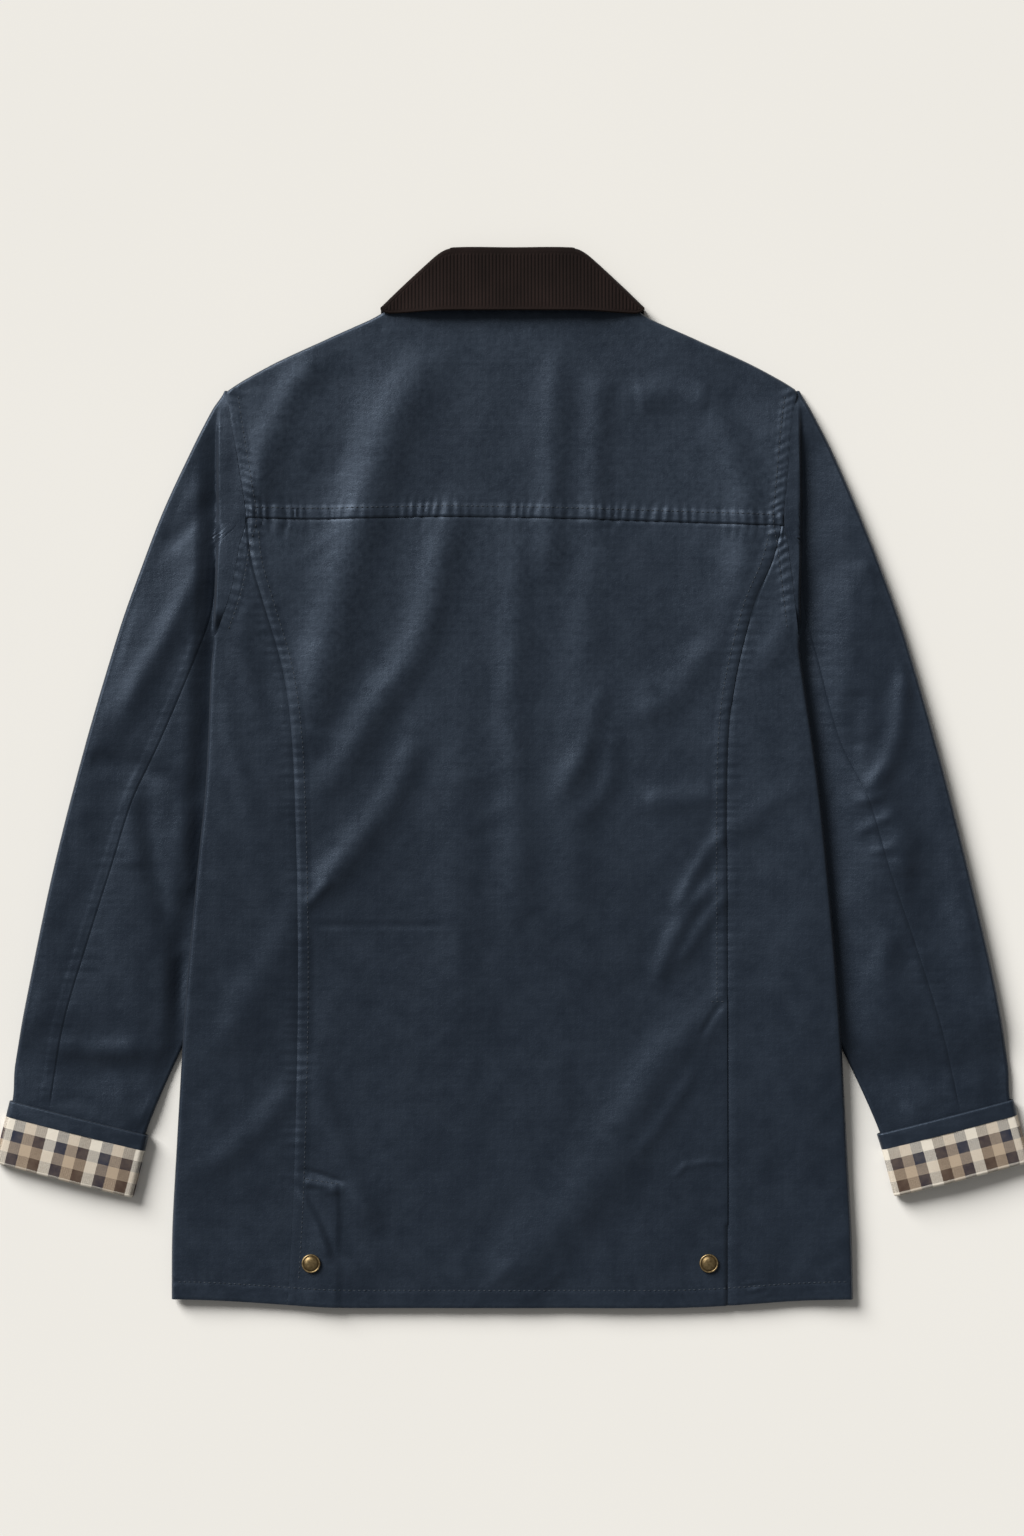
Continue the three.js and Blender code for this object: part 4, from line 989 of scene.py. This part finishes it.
def make_sleeve(side, sizes):
    """Make a sleeve as one tube of cloth, with its head sewn into the armhole."""
    outer_rows = []
    inner_rows = []
    wear_and_painted_light_rows = []
    levels = station_levels()
    upper_counts = (30, 44)
    upper_count = sum(upper_counts) + 5
    under_count = 18
    turn_angles = np.linspace(math.pi / 2, -math.pi / 2, 11)
    outward = -1 if side == "left" else 1
    for outer_y, inner_y in levels:
        closed = outer_y < UNDERARM_Y
        start = np.array([float(sleeve_outer[side](outer_y)), outer_y])
        open_end = armhole[side](inner_y) + outward * 0.2
        end = np.array([float(sleeve_inner[side](inner_y) if closed else open_end), inner_y])
        width = np.linalg.norm(end - start)
        along = (end - start) / width
        lift = NEXT_LAYER * float(smooth((-215 - outer_y) / 30))
        edge_x = body_edge[side](blend(outer_y, inner_y, 0.8)) if closed else head_fold[side](outer_y)
        fold = float(np.clip(abs(edge_x - start[0]) / abs(along[0]), 0, width))
        seam_x = sleeve_seam[side](blend(outer_y, inner_y, 0.25))
        seam = float(abs(seam_x - start[0]) / abs(along[0]))
        far = width - (SLEEVE_ROLL if closed else 0)
        near = min(SLEEVE_ROLL, 0.4 * far)
        beside = float(np.clip(seam, near + 0.1 * (far - near), near + 0.9 * (far - near)))
        gap = min(1.2, 0.04 * (far - near))
        p = np.concatenate((
            np.linspace(far, beside + gap, upper_counts[0], endpoint=False),
            beside + gap * np.array([1, 0.4, 0, -0.4, -1]),
            np.linspace(beside - gap, near, upper_counts[1] + 1)[1:],
        ))
        x = start[0] + along[0] * p
        y = start[1] + along[1] * p
        in_cuff = 1 - 0.5 * smooth((-215 - y) / 30)
        crown = SLEEVE_CROWN * in_cuff + SLEEVE_LOFT * (1 - smooth((-182 - y) / 62))
        dip = smooth((fold - p) / SLEEVE_DIP[side])
        low = TUCK_TOP - 0.3 + crown * blend(outer_share(side, y), 1, smooth(p / 44)) * dip
        if closed:
            z = low
            hidden = smooth((fold - p) / 6)
        else:
            strip = back_top(x, y, sizes)
            sunk = float(smooth((outer_y - 116) / 18))
            strip = blend(TUCK_TOP, strip, sunk)
            high_share = smooth((p - fold + 2.4) / 3.6)
            merged = float(smooth((fold - 1) / 34))
            z = blend(blend(strip, low, merged), strip, high_share)
            z = blend(z, 0.55 * z, float(smooth((outer_y - 296) / 15)))
            hidden = 1 - 0.6 * high_share
        relief = sleeve_relief(x, y, (p - seam) * outward, sizes) * hidden
        at_edge = smooth((p - near) / 9)
        in_sleeve_end = 1 - smooth((-247 - outer_y) / 10)
        z = z + relief * (0.25 + 0.75 * at_edge) * in_sleeve_end
        outer_points = [np.stack((x, y, z + lift), axis=-1)]
        inner_points = [np.stack((x, y, z + lift - sizes.cloth), axis=-1)]
        height = z[-1]
        turned = turn_row(start, along, near, height, lift, sizes.cloth, turn_angles, False, width)
        outer_points.append(turned[0])
        inner_points.append(turned[1])
        q = blend(near, far, np.linspace(0, 1, under_count))
        under_x = start[0] + along[0] * q
        under_y = start[1] + along[1] * q
        outer_points.append(points(under_x, under_y, lift))
        inner_points.append(points(under_x, under_y, lift + sizes.cloth))
        if closed:
            turned = turn_row(start, along, near, z[0], lift, sizes.cloth, turn_angles[::-1], True, width)
        else:
            last = np.repeat(outer_points[-1][-1:], len(turn_angles), axis=0)
            turned = (last, last + np.array([0, 0, sizes.cloth]))
        outer_points.append(turned[0])
        inner_points.append(turned[1])
        outer_rows.append(np.concatenate(outer_points))
        inner_rows.append(np.concatenate(inner_points))
        worn = 0.45 * np.exp(-(((p - near) / 6) ** 2)) + 0.35 * np.exp(-(((p - fold - 2) / 3) ** 2))
        padding = np.zeros(len(outer_rows[-1]) - upper_count)
        wear_and_painted_light_rows.append(np.concatenate((worn, padding)))
    outer = np.stack(outer_rows)
    inner = np.stack(inner_rows)
    outer = np.concatenate((outer, outer[:, :1]), axis=1)
    inner = np.concatenate((inner, inner[:, :1]), axis=1)
    wear_and_painted_light = np.stack(wear_and_painted_light_rows)
    wear_and_painted_light = np.concatenate((wear_and_painted_light, wear_and_painted_light[:, :1]), axis=1)
    present = np.ones((outer.shape[0] - 1, outer.shape[1] - 1), dtype=bool)
    is_open = levels[:-1, 0] >= UNDERARM_Y
    first_turned = upper_count + len(turn_angles) + under_count - 1
    present[is_open, first_turned:] = False
    piece = wall(f"sleeve_cloth_{side}", outer, inner, present, wear_and_painted_light=wear_and_painted_light, ring=True)
    nodes = [f"sleeve_{side}_top", f"sleeve_{side}_under"]
    return settle(piece, nodes, cloth_material())


def turn_row(start, along, near, height, lift, cloth, angles, at_end, width):
    """Return the outer and inner points of a sleeve wall as it turns round an edge."""
    inset = near * (1 - np.cos(angles))
    inner_inset = cloth + (near - cloth) * (1 - np.cos(angles))
    middle = lift + height / 2
    place = (lambda amount: width - amount) if at_end else (lambda amount: amount)
    outer = points(
        start[0] + along[0] * place(inset), start[1] + along[1] * place(inset),
        middle + height / 2 * np.sin(angles),
    )
    inner = points(
        start[0] + along[0] * place(inner_inset), start[1] + along[1] * place(inner_inset),
        middle + (height / 2 - cloth) * np.sin(angles),
    )
    return outer, inner


# The cuffs


def cuff_ring(name, first, second, rows, lipped, sizes, wave):
    """Make a flat ring of cloth round the sleeve's end, between two lines across it."""
    edge_height = 9.9
    middle_height = 12.8
    outer_rows = []
    inner_rows = []
    flat_rows = []
    shares = np.linspace(0, 1, 70)
    angles = np.linspace(math.pi / 2, -math.pi / 2, 9)[1:-1]
    length = math.dist(first[0], second[0])
    for v in rows:
        a = np.array([blend(first[0][i], second[0][i], v) for i in range(2)])
        b = np.array([blend(first[1][i], second[1][i], v) for i in range(2)])
        width = np.linalg.norm(b - a)
        along = (b - a) / width
        down = np.array([along[1], -along[0]])
        if down[1] > 0:
            down = -down
        rounding = 0.0
        if lipped:
            rounding = 2.6 * (1 - math.sqrt(max(0.0, 1 - max(0.0, (v - 0.94) / 0.06) ** 2)))
        else:
            rounding = 1.1 * (1 - math.sqrt(max(0.0, 1 - max(0.0, (0.12 - v) / 0.12) ** 2)))
        lip = NEXT_LAYER if lipped and v > 0.95 else 0.0
        p = blend(SLEEVE_ROLL, width - SLEEVE_ROLL, shares)
        crown = edge_height + (middle_height - edge_height) * np.sin(math.pi * p / width) ** 0.7
        rumple = wave * (noise(p / 24 + 3, np.full(p.shape, v * 1.3), 31) * 0.6 + 0.25 * noise(p / 9, np.full(p.shape, v * 3.0), 32))
        z = np.minimum(crown - rounding + rumple, middle_height + 0.8)
        sag = down * (rumple * 0.8 * v)[:, None] if lipped else np.zeros((len(p), 2))

        def at(amount, height, shift=0.0):
            return points(a[0] + along[0] * amount, a[1] + along[1] * amount, height) + np.pad(
                np.broadcast_to(shift, (len(amount), 2)), ((0, 0), (0, 1))
            )

        half = edge_height / 2
        inset = SLEEVE_ROLL * (1 - np.cos(angles)) + rounding * 0.4
        inset = np.minimum(inset, SLEEVE_ROLL)
        inner_inset = sizes.cloth + lip * 0.5 + (SLEEVE_ROLL - sizes.cloth - lip * 0.5) * (1 - np.cos(angles))
        outer_turn = half + (half - rounding) * np.sin(angles)
        inner_turn = half + (half - sizes.cloth - lip) * np.sin(angles)
        back = p[::-1]
        outer_rows.append(np.concatenate((
            at(p, z, sag), at(width - inset, outer_turn), at(back, np.full(p.shape, rounding)),
            at(inset[::-1], outer_turn[::-1]),
        )))
        inner_rows.append(np.concatenate((
            at(p, z - sizes.cloth - lip, sag), at(width - inner_inset, inner_turn),
            at(back, np.full(p.shape, sizes.cloth + lip)), at(inner_inset[::-1], inner_turn[::-1]),
        )))
        round_length = np.concatenate((
            p, width + np.linspace(0, 9, len(angles)), 2 * width + 9 - back,
            2 * width + 9 + np.linspace(0, 9, len(angles)),
        ))
        flat_rows.append(np.stack((round_length, np.full(round_length.shape, v * length)), axis=-1))
    outer = np.stack(outer_rows)
    inner = np.stack(inner_rows)
    flat = np.stack(flat_rows)
    outer = np.concatenate((outer, outer[:, :1]), axis=1)
    inner = np.concatenate((inner, inner[:, :1]), axis=1)
    flat = np.concatenate((flat, flat[:, :1]), axis=1)
    worn = np.exp(-((flat[..., 1] / 2.5) ** 2)) * 0.25
    return wall(name, outer, inner, flat=flat, wear_and_painted_light=worn, ring=True)


def make_cuff(side, sizes, colours):
    """Make the turned-up cuff: a facing band and the checked lining below it."""
    cuff = CUFFS[side]
    band_rows = graded((0, 0.12, 1), (0.02, 0.13))
    facing = cuff_ring(f"cuff_band_{side}", cuff["band_top"], cuff["band_bottom"], band_rows, False, sizes, 0.5)
    settle(facing, [f"cuff_{side}_facing"], cloth_material())
    lining = shared("checked_lining_cloth", checked_lining, colours, sizes)
    check_rows = graded((0, 0.94, 1), (0.04, 0.008))
    turnup = cuff_ring(f"cuff_check_{side}", cuff["band_bottom"], cuff["fold"], check_rows, True, sizes, 0.5)
    settle(turnup, [f"cuff_{side}_turnup"], lining)


# The collar


def make_collar(sizes, colours):
    """Make the corduroy collar: its fall with upright wales, rolled over at the top, and its leaves."""
    half = 105.5
    wales = round(2 * half / sizes.wale_pitch)
    x = np.linspace(-half, half, wales * 6 + 1)
    stand_half = 50.0
    free_y = 371 + 2.0 * smooth((half - np.abs(x)) / 60) + 3.2 * np.clip((np.abs(x) - 97) / 8.5, 0, 1) ** 2.4
    top_y = collar_top(np.abs(x))
    squeezed = np.minimum(3.4, (top_y - free_y) * 0.45)
    height = NECK_TOP + SEAM + 2.0
    inset_y = np.maximum(top_y - squeezed, free_y + 0.4)
    rib = np.abs(np.sin(np.pi * np.arange(len(x)) / 6)) ** 0.7
    outer_rows = []
    inner_rows = []
    wear_and_painted_light_rows = []
    for v in graded((0, 0.05, 0.85, 1), (0.012, 0.045, 0.02)):
        y = blend(free_y, inset_y, v)
        lift = 6.2 * (1 - v) ** 2 * smooth((half - 2 - np.abs(x)) / 46)
        below_edge = top_y - y
        on_fall = smooth((below_edge - 5.2) / 0.8) * smooth((y - free_y - 2.2) / 0.8)
        band = 0.16 * np.abs(np.sin(below_edge * math.pi / 1.7)) * (1 - smooth((below_edge - 5.2) / 0.6))
        hem_roll = 0.35 * np.exp(-(((y - free_y - 1.2) / 1.0) ** 2))
        lip = -0.9 * (1 - np.sqrt(np.clip(1 - (1 - (y - free_y) / 1.0).clip(0, 1) ** 2, 0, 1)))
        sway = 0.35 * noise(x / 40, y / 30, 41)
        pile = sizes.wale_height * rib * on_fall
        outer_rows.append(points(x, y, height + lift + pile + band + hem_roll + lip + sway))
        inner_rows.append(points(x, y, height + lift + sway - 1.7))
        # How pale the corduroy is painted: lighter on the wale tops over painted shade between them, middling off the
        # fall.
        wear_and_painted_light_rows.append(0.75 * rib * on_fall + 0.45 * (1 - on_fall) + 0 * y)
    bottom = np.where(np.abs(x) < stand_half, NECK_TOP - WALL, 0.0)
    for angle in np.linspace(math.pi / 2, -math.pi / 2, 9)[1:]:
        middle = (height + bottom) / 2
        y = top_y - squeezed * (1 - math.cos(angle))
        ripple = 0.12 * math.sin(angle * 9)
        outer_rows.append(points(x, y, np.maximum(middle + (height - middle) * math.sin(angle) + ripple, bottom)))
        thick = np.minimum(1.6, squeezed * 0.5)
        inner_y = top_y - thick - (squeezed - thick) * (1 - math.cos(angle))
        low = (height - 1.7 + bottom + 1.6) / 2
        inner_rows.append(points(x, inner_y, low + (height - 1.7 - low) * math.sin(angle)))
        wear_and_painted_light_rows.append(np.full(x.shape, 0.4))
    under_from = len(outer_rows) - 1
    leaf_end = leaf_edge(np.abs(x)) - np.where(np.abs(x) > 100, 6, 0)
    end_y = np.where(np.abs(x) < stand_half, 380.5, leaf_end)
    for share in np.linspace(0, 1, 9)[1:]:
        y = blend(top_y - squeezed, end_y, share)
        outer_rows.append(points(x, y, bottom))
        inner_rows.append(points(x, y, bottom + 1.6))
        wear_and_painted_light_rows.append(np.full(x.shape, 0.4))
    outer = np.stack(outer_rows)
    inner = np.stack(inner_rows)
    present = np.ones((len(outer) - 1, len(x) - 1), dtype=bool)
    broken = (np.abs(x[:-1]) < stand_half) != (np.abs(x[1:]) < stand_half)
    present[under_from:, broken] = False
    piece = wall("collar_cloth", outer, inner, present, wear_and_painted_light=np.stack(wear_and_painted_light_rows))
    material = shared("corduroy_cloth", corduroy, colours, sizes)
    return settle(piece, ["collar"], material)


# Small parts


def surface_tree(names):
    """Return a search tree over the faces of several pieces."""
    places = []
    faces = []
    for name in names:
        mesh = bpy.data.objects[name].data
        first = len(places)
        places.extend(vertex.co.copy() for vertex in mesh.vertices)
        faces.extend([first + i for i in polygon.vertices] for polygon in mesh.polygons)
    return BVHTree.FromPolygons(places, faces)


def dropped(tree, x, y):
    """Return the highest point of the cloth below a place, and its normal."""
    spot, normal, _, _ = tree.ray_cast(Vector((x * MM, y * MM, 0.1)), Vector((0, 0, -1)))
    return spot, normal


def make_stud(side, sizes, colours):
    """Make a domed stud cap with a raised rim, as a lathe."""
    radius = sizes.stud / 2
    profile = (
        (0.0, 0.0), (radius - 0.7, 0.0), (radius - 0.15, 0.25), (radius, 0.8), (radius, 1.5),
        (radius - 0.2, 1.95), (radius - 0.6, 2.15), (radius - 1.0, 2.0), (radius - 1.35, 1.7),
        (radius - 1.8, 1.85), (radius * 0.6, 2.6), (radius * 0.4, 3.0), (radius * 0.2, 3.18), (0.0, 3.2),
    )
    turns = 48
    around = np.linspace(0, 2 * math.pi, turns, endpoint=False)
    x, y = STUD_PLACES[side]
    reach = np.linspace(0, 2 * math.pi, 13)[:-1]
    rim = back_top(x + radius * np.cos(reach), y + radius * np.sin(reach), sizes)
    base = max(float(rim.max()), float(back_top(np.array(x), np.array(y), sizes))) + 0.05
    places = []
    faces = []
    for r, z in profile[1:-1]:
        places.extend((r * math.cos(a), r * math.sin(a), z) for a in around)
    rows = len(profile) - 2
    for row in range(rows - 1):
        for i in range(turns):
            j = (i + 1) % turns
            faces.append((row * turns + i, row * turns + j, (row + 1) * turns + j, (row + 1) * turns + i))
    foot = len(places)
    places.extend(((0, 0, 0.0), (0, 0, profile[-1][1])))
    for i in range(turns):
        j = (i + 1) % turns
        faces.append((foot, j, i))
        faces.append((foot + 1, (rows - 1) * turns + i, (rows - 1) * turns + j))
    mesh = bpy.data.meshes.new(f"stud_cap_{side}")
    mesh.from_pydata([((x + a) * MM, (y + b) * MM, (base + c) * MM) for a, b, c in places], [], faces)
    wear_and_painted_light = mesh.attributes.new("wear_and_painted_light", "FLOAT", "POINT")
    for number, (a, b, c) in enumerate(places):
        distance = math.hypot(a, b)
        on_rim = math.exp(-(((distance - radius + 0.6) / 0.5) ** 2))
        wear_and_painted_light.data[number].value = min(1.0, on_rim + 0.55 * (distance < radius * 0.62))
    mesh.shade_smooth()
    cap = bpy.data.objects.new(f"stud_cap_{side}", mesh)
    bpy.context.scene.collection.objects.link(cap)
    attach(cap, BODY)
    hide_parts(f"vent_stud_{side}")
    mesh.materials.append(shared("antique_brass", stud_brass, colours))
    return cap


def stitch_lines():
    """Return the rows of stitches, each as points of x and y."""
    lines = []
    x = np.linspace(-206, 210, 120)
    lines.append(np.stack((x, yoke_seam(x) + 8.6), axis=-1))
    for side, inward in (("left", 1), ("right", -1)):
        y = np.linspace(198, -402, 150)
        if side == "right":
            y = np.linspace(196, -180, 110)
        lines.append(np.stack((princess[side](y) + inward * 8.2, y), axis=-1))
        y = np.linspace(306, 120, 60)
        lines.append(np.stack((armhole[side](y) + inward * 8.4, y), axis=-1))
    x = np.linspace(-268, 267, 140)
    lines.append(np.stack((x, hem(x) + 14.2), axis=-1))
    lines.append(np.array(((158.0, -178.6), (171.5, -178.6))))
    lines.append(np.array(((-166.0, -320.5), (-140.0, -324.5))))
    return lines


def along_line(line, pitch):
    """Return evenly spaced places and headings along a line."""
    steps = np.linalg.norm(np.diff(line, axis=0), axis=1)
    total = np.concatenate(([0], np.cumsum(steps)))
    at = np.arange(pitch / 2, total[-1], pitch)
    x = np.interp(at, total, line[:, 0])
    y = np.interp(at, total, line[:, 1])
    ahead_x = np.interp(at + 1, total, line[:, 0])
    ahead_y = np.interp(at + 1, total, line[:, 1])
    return zip(x, y, np.arctan2(ahead_y - y, ahead_x - x))


def make_stitches(sizes, colours):
    """Make every stitch as one small bead of thread that sinks in at both ends."""
    tree = surface_tree(("yoke_cloth", "back_cloth", "side_cloth_left", "side_cloth_right"))
    rings = ((-0.5, 0.1, -0.45), (-0.3, 0.28, 0.0), (0.0, 0.34, 0.12), (0.3, 0.28, 0.0), (0.5, 0.1, -0.45))
    sides = 5
    places = []
    faces = []
    for line in stitch_lines():
        for x, y, heading in along_line(line, sizes.stitch_pitch):
            spot, normal = dropped(tree, x, y)
            if spot is None:
                continue
            forward = Vector((math.cos(heading), math.sin(heading), 0))
            forward = (forward - normal * forward.dot(normal)).normalized()
            beside = normal.cross(forward)
            first = len(places)
            for share, thick, rise in rings:
                centre = spot + forward * (share * sizes.stitch_length * MM) + normal * (rise * MM)
                for i in range(sides):
                    angle = 2 * math.pi * i / sides
                    offset = beside * math.cos(angle) + normal * math.sin(angle)
                    places.append(centre + offset * (thick * MM))
            for ring in range(len(rings) - 1):
                for i in range(sides):
                    j = (i + 1) % sides
                    a = first + ring * sides
                    faces.append((a + i, a + j, a + sides + j, a + sides + i))
            faces.append(tuple(first + i for i in reversed(range(sides))))
            last = first + (len(rings) - 1) * sides
            faces.append(tuple(last + i for i in range(sides)))
    mesh = bpy.data.meshes.new("topstitching")
    mesh.from_pydata([tuple(place) for place in places], [], faces)
    mesh.shade_smooth()
    stitches = bpy.data.objects.new("topstitching", mesh)
    bpy.context.scene.collection.objects.link(stitches)
    mesh.materials.append(shared("sewing_thread", thread, colours))
    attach(stitches, BODY)
    return stitches


# The stage


def aim(thing, target):
    """Turn a lamp or camera towards a point."""
    thing.rotation_euler = (Vector(target) - thing.location).to_track_quat("-Z", "Y").to_euler()


def add_daylight(name, place, spread, strength, colour):
    """Add a broad, even light that falls from a place towards the origin."""
    data = bpy.data.lights.new(name, "SUN")
    data.angle = math.radians(spread)
    data.energy = strength
    data.color = colour
    light = bpy.data.objects.new(name, data)
    light.location = place
    aim(light, (0, 0, 0))
    bpy.context.scene.collection.objects.link(light)
    return light


class JacketSizes(bpy.types.PropertyGroup):
    """Sizes of the cloth work, in millimetres."""

    cloth: bpy.props.FloatProperty(
        name="Cloth", description="Thickness of the waxed cotton, mm", default=1.2, min=0.6, max=2.0
    )
    seam_lift: bpy.props.FloatProperty(
        name="Seam lift", description="How far a seam allowance lifts the cloth, mm", default=0.7, min=0, max=2
    )
    pucker: bpy.props.FloatProperty(
        name="Puckers", description="Height of the gathers along a row of stitches, mm", default=0.85, min=0, max=2
    )
    wale_pitch: bpy.props.FloatProperty(
        name="Wale pitch", description="Distance between the corduroy's wales, mm", default=2.8, min=1.5, max=5
    )
    wale_height: bpy.props.FloatProperty(
        name="Wale height", description="Height of the corduroy's wales, mm", default=0.5, min=0.2, max=1.2
    )
    check_square: bpy.props.FloatProperty(
        name="Check square", description="Width of one stripe of the lining's check, mm", default=9, min=4, max=20
    )
    stud: bpy.props.FloatProperty(
        name="Stud", description="Diameter of a stud cap, mm", default=15, min=10, max=20
    )
    stitch_length: bpy.props.FloatProperty(
        name="Stitch length", description="Length of one stitch, mm", default=3.0, min=1.5, max=5
    )
    stitch_pitch: bpy.props.FloatProperty(
        name="Stitch pitch", description="Distance from stitch to stitch, mm", default=4.0, min=2, max=7
    )
    camera_height: bpy.props.FloatProperty(
        name="Camera height", description="Height of the camera over the floor", default=2.6, unit="LENGTH"
    )
    floor_width: bpy.props.FloatProperty(
        name="Floor", description="Width of the pale floor", default=40.0, unit="LENGTH"
    )


def colour_property(name, description, default):
    """Return a colour property."""
    return bpy.props.FloatVectorProperty(
        name=name, description=description, default=default, subtype="COLOR", size=3, min=0, max=1
    )


class JacketColours(bpy.types.PropertyGroup):
    """Colours of the jacket and the floor."""

    cloth_dark: colour_property("Cloth, dark", "Waxed cotton where the wax lies thick", (0.0072, 0.0116, 0.0198))
    cloth_light: colour_property("Cloth, light", "Waxed cotton elsewhere", (0.0103, 0.0160, 0.0262))
    # Pale cloth for real wear on the edges, and for the painted highlight on the crests and towards the yoke.
    cloth_worn_and_lit: colour_property("Cloth, worn", "Waxed cotton rubbed on edges and crests", (0.024, 0.034, 0.050))
    # The dark corduroy colour is painted shade between the wales; the light one is the pile on them.
    cord_dark: colour_property("Corduroy, dark", "Corduroy between the wales", (0.0035, 0.0022, 0.0018))
    cord_light: colour_property("Corduroy, light", "Corduroy on the wales", (0.0235, 0.0135, 0.0118))
    check_cream: colour_property("Check, cream", "Cream stripes of the lining", (0.74, 0.69, 0.60))
    check_navy: colour_property("Check, navy", "Navy stripes of the lining", (0.018, 0.024, 0.045))
    check_tan: colour_property("Check, tan", "Tan stripes of the lining", (0.43, 0.34, 0.25))
    check_brown: colour_property("Check, brown", "Brown stripes of the lining", (0.062, 0.038, 0.028))
    brass_dark: colour_property("Brass, dark", "Tarnished brass", (0.10, 0.065, 0.028))
    brass_light: colour_property("Brass, light", "Rubbed brass", (0.52, 0.39, 0.20))
    thread_dark: colour_property("Thread, dark", "Shaded side of the thread", (0.010, 0.016, 0.025))
    thread_light: colour_property("Thread, light", "Lit side of the thread", (0.024, 0.034, 0.048))
    floor: colour_property("Floor", "The pale surface under the jacket", (0.85, 0.836, 0.80))


class JACKET_OT_stage(bpy.types.Operator):
    """Add the camera, the pale floor and the soft light"""

    bl_idname = "jacket.stage"
    bl_label = "Stage"

    def execute(self, context):
        sizes, colours = settings()
        scene = context.scene
        data = bpy.data.cameras.new("overhead_camera")
        data.sensor_width = 36
        data.lens = 75.97
        camera = bpy.data.objects.new("overhead_camera", data)
        camera.location = (-0.0004, 0.008, sizes.camera_height)
        scene.collection.objects.link(camera)
        scene.camera = camera
        half = sizes.floor_width / 2
        mesh = bpy.data.meshes.new("floor")
        corners = [(-half, -half, -0.0004), (half, -half, -0.0004), (half, half, -0.0004), (-half, half, -0.0004)]
        mesh.from_pydata(corners, [], [(0, 1, 2, 3)])
        mesh.materials.append(pale_floor(colours))
        floor = bpy.data.objects.new("floor", mesh)
        scene.collection.objects.link(floor)
        add_daylight("window_light", (-3.2, 3.5, 2.6), 32, 5.4, (1.0, 0.985, 0.96))
        world = bpy.data.worlds.new("soft_room")
        world.use_nodes = True
        background = world.node_tree.nodes["Background"]
        background.inputs["Color"].default_value = (1.0, 0.985, 0.96, 1)
        background.inputs["Strength"].default_value = 0.19
        scene.world = world
        scene.view_settings.view_transform = "Standard"
        return {"FINISHED"}


class JACKET_OT_fronts(bpy.types.Operator):
    """Lay the two fronts, which the jacket lies on"""

    bl_idname = "jacket.fronts"
    bl_label = "Fronts"

    def execute(self, context):
        sizes, _ = settings()
        for side in SIDES:
            make_front(side, sizes)
        return {"FINISHED"}


class JACKET_OT_back(bpy.types.Operator):
    """Sew the yoke, the centre and side panels and the vents' underlays"""

    bl_idname = "jacket.back"
    bl_label = "Back"

    def execute(self, context):
        sizes, _ = settings()
        make_yoke(sizes)
        make_back_centre(sizes)
        for side in SIDES:
            make_back_side(side, sizes)
        for vent in VENTS:
            make_underlay(vent, sizes)
        return {"FINISHED"}


class JACKET_OT_sleeves(bpy.types.Operator):
    """Sew the two sleeves into their armholes"""

    bl_idname = "jacket.sleeves"
    bl_label = "Sleeves"

    def execute(self, context):
        sizes, _ = settings()
        for side in SIDES:
            make_sleeve(side, sizes)
        return {"FINISHED"}


class JACKET_OT_cuffs(bpy.types.Operator):
    """Turn up the cuffs over their checked lining"""

    bl_idname = "jacket.cuffs"
    bl_label = "Cuffs"

    def execute(self, context):
        sizes, colours = settings()
        for side in SIDES:
            make_cuff(side, sizes, colours)
        return {"FINISHED"}


class JACKET_OT_collar(bpy.types.Operator):
    """Fold the corduroy collar over the neck"""

    bl_idname = "jacket.collar"
    bl_label = "Collar"

    def execute(self, context):
        make_collar(*settings())
        return {"FINISHED"}


class JACKET_OT_studs(bpy.types.Operator):
    """Set a stud in each vent"""

    bl_idname = "jacket.studs"
    bl_label = "Studs"

    def execute(self, context):
        sizes, colours = settings()
        for side in SIDES:
            make_stud(side, sizes, colours)
        return {"FINISHED"}


class JACKET_OT_stitching(bpy.types.Operator):
    """Run the rows of topstitching"""

    bl_idname = "jacket.stitching"
    bl_label = "Stitching"

    def execute(self, context):
        make_stitches(*settings())
        return {"FINISHED"}


OPERATORS = (
    JACKET_OT_stage,
    JACKET_OT_fronts,
    JACKET_OT_back,
    JACKET_OT_sleeves,
    JACKET_OT_cuffs,
    JACKET_OT_collar,
    JACKET_OT_studs,
    JACKET_OT_stitching,
)


class JACKET_PT_pieces(bpy.types.Panel):
    """The jacket's pieces, in the order they are made"""

    bl_label = "Jacket"
    bl_idname = "JACKET_PT_pieces"
    bl_space_type = "VIEW_3D"
    bl_region_type = "UI"
    bl_category = "Jacket"

    def draw(self, context):
        for operator in OPERATORS:
            self.layout.operator(operator.bl_idname)
        for group in (context.scene.jacket_sizes, context.scene.jacket_colours):
            for name in group.__annotations__:
                self.layout.prop(group, name)


CLASSES = (JacketSizes, JacketColours, *OPERATORS, JACKET_PT_pieces)


def register():
    """Register the classes and hang their properties on the scene."""
    for cls in CLASSES:
        bpy.utils.register_class(cls)
    bpy.types.Scene.jacket_sizes = bpy.props.PointerProperty(type=JacketSizes)
    bpy.types.Scene.jacket_colours = bpy.props.PointerProperty(type=JacketColours)


def unregister():
    """Take the properties and classes away again."""
    del bpy.types.Scene.jacket_colours
    del bpy.types.Scene.jacket_sizes
    for cls in reversed(CLASSES):
        bpy.utils.unregister_class(cls)


def main():
    """Make the stage and every piece."""
    register()
    for operator in OPERATORS:
        group, name = operator.bl_idname.split(".")
        getattr(getattr(bpy.ops, group), name)()


if __name__ == "__main__":
    main()
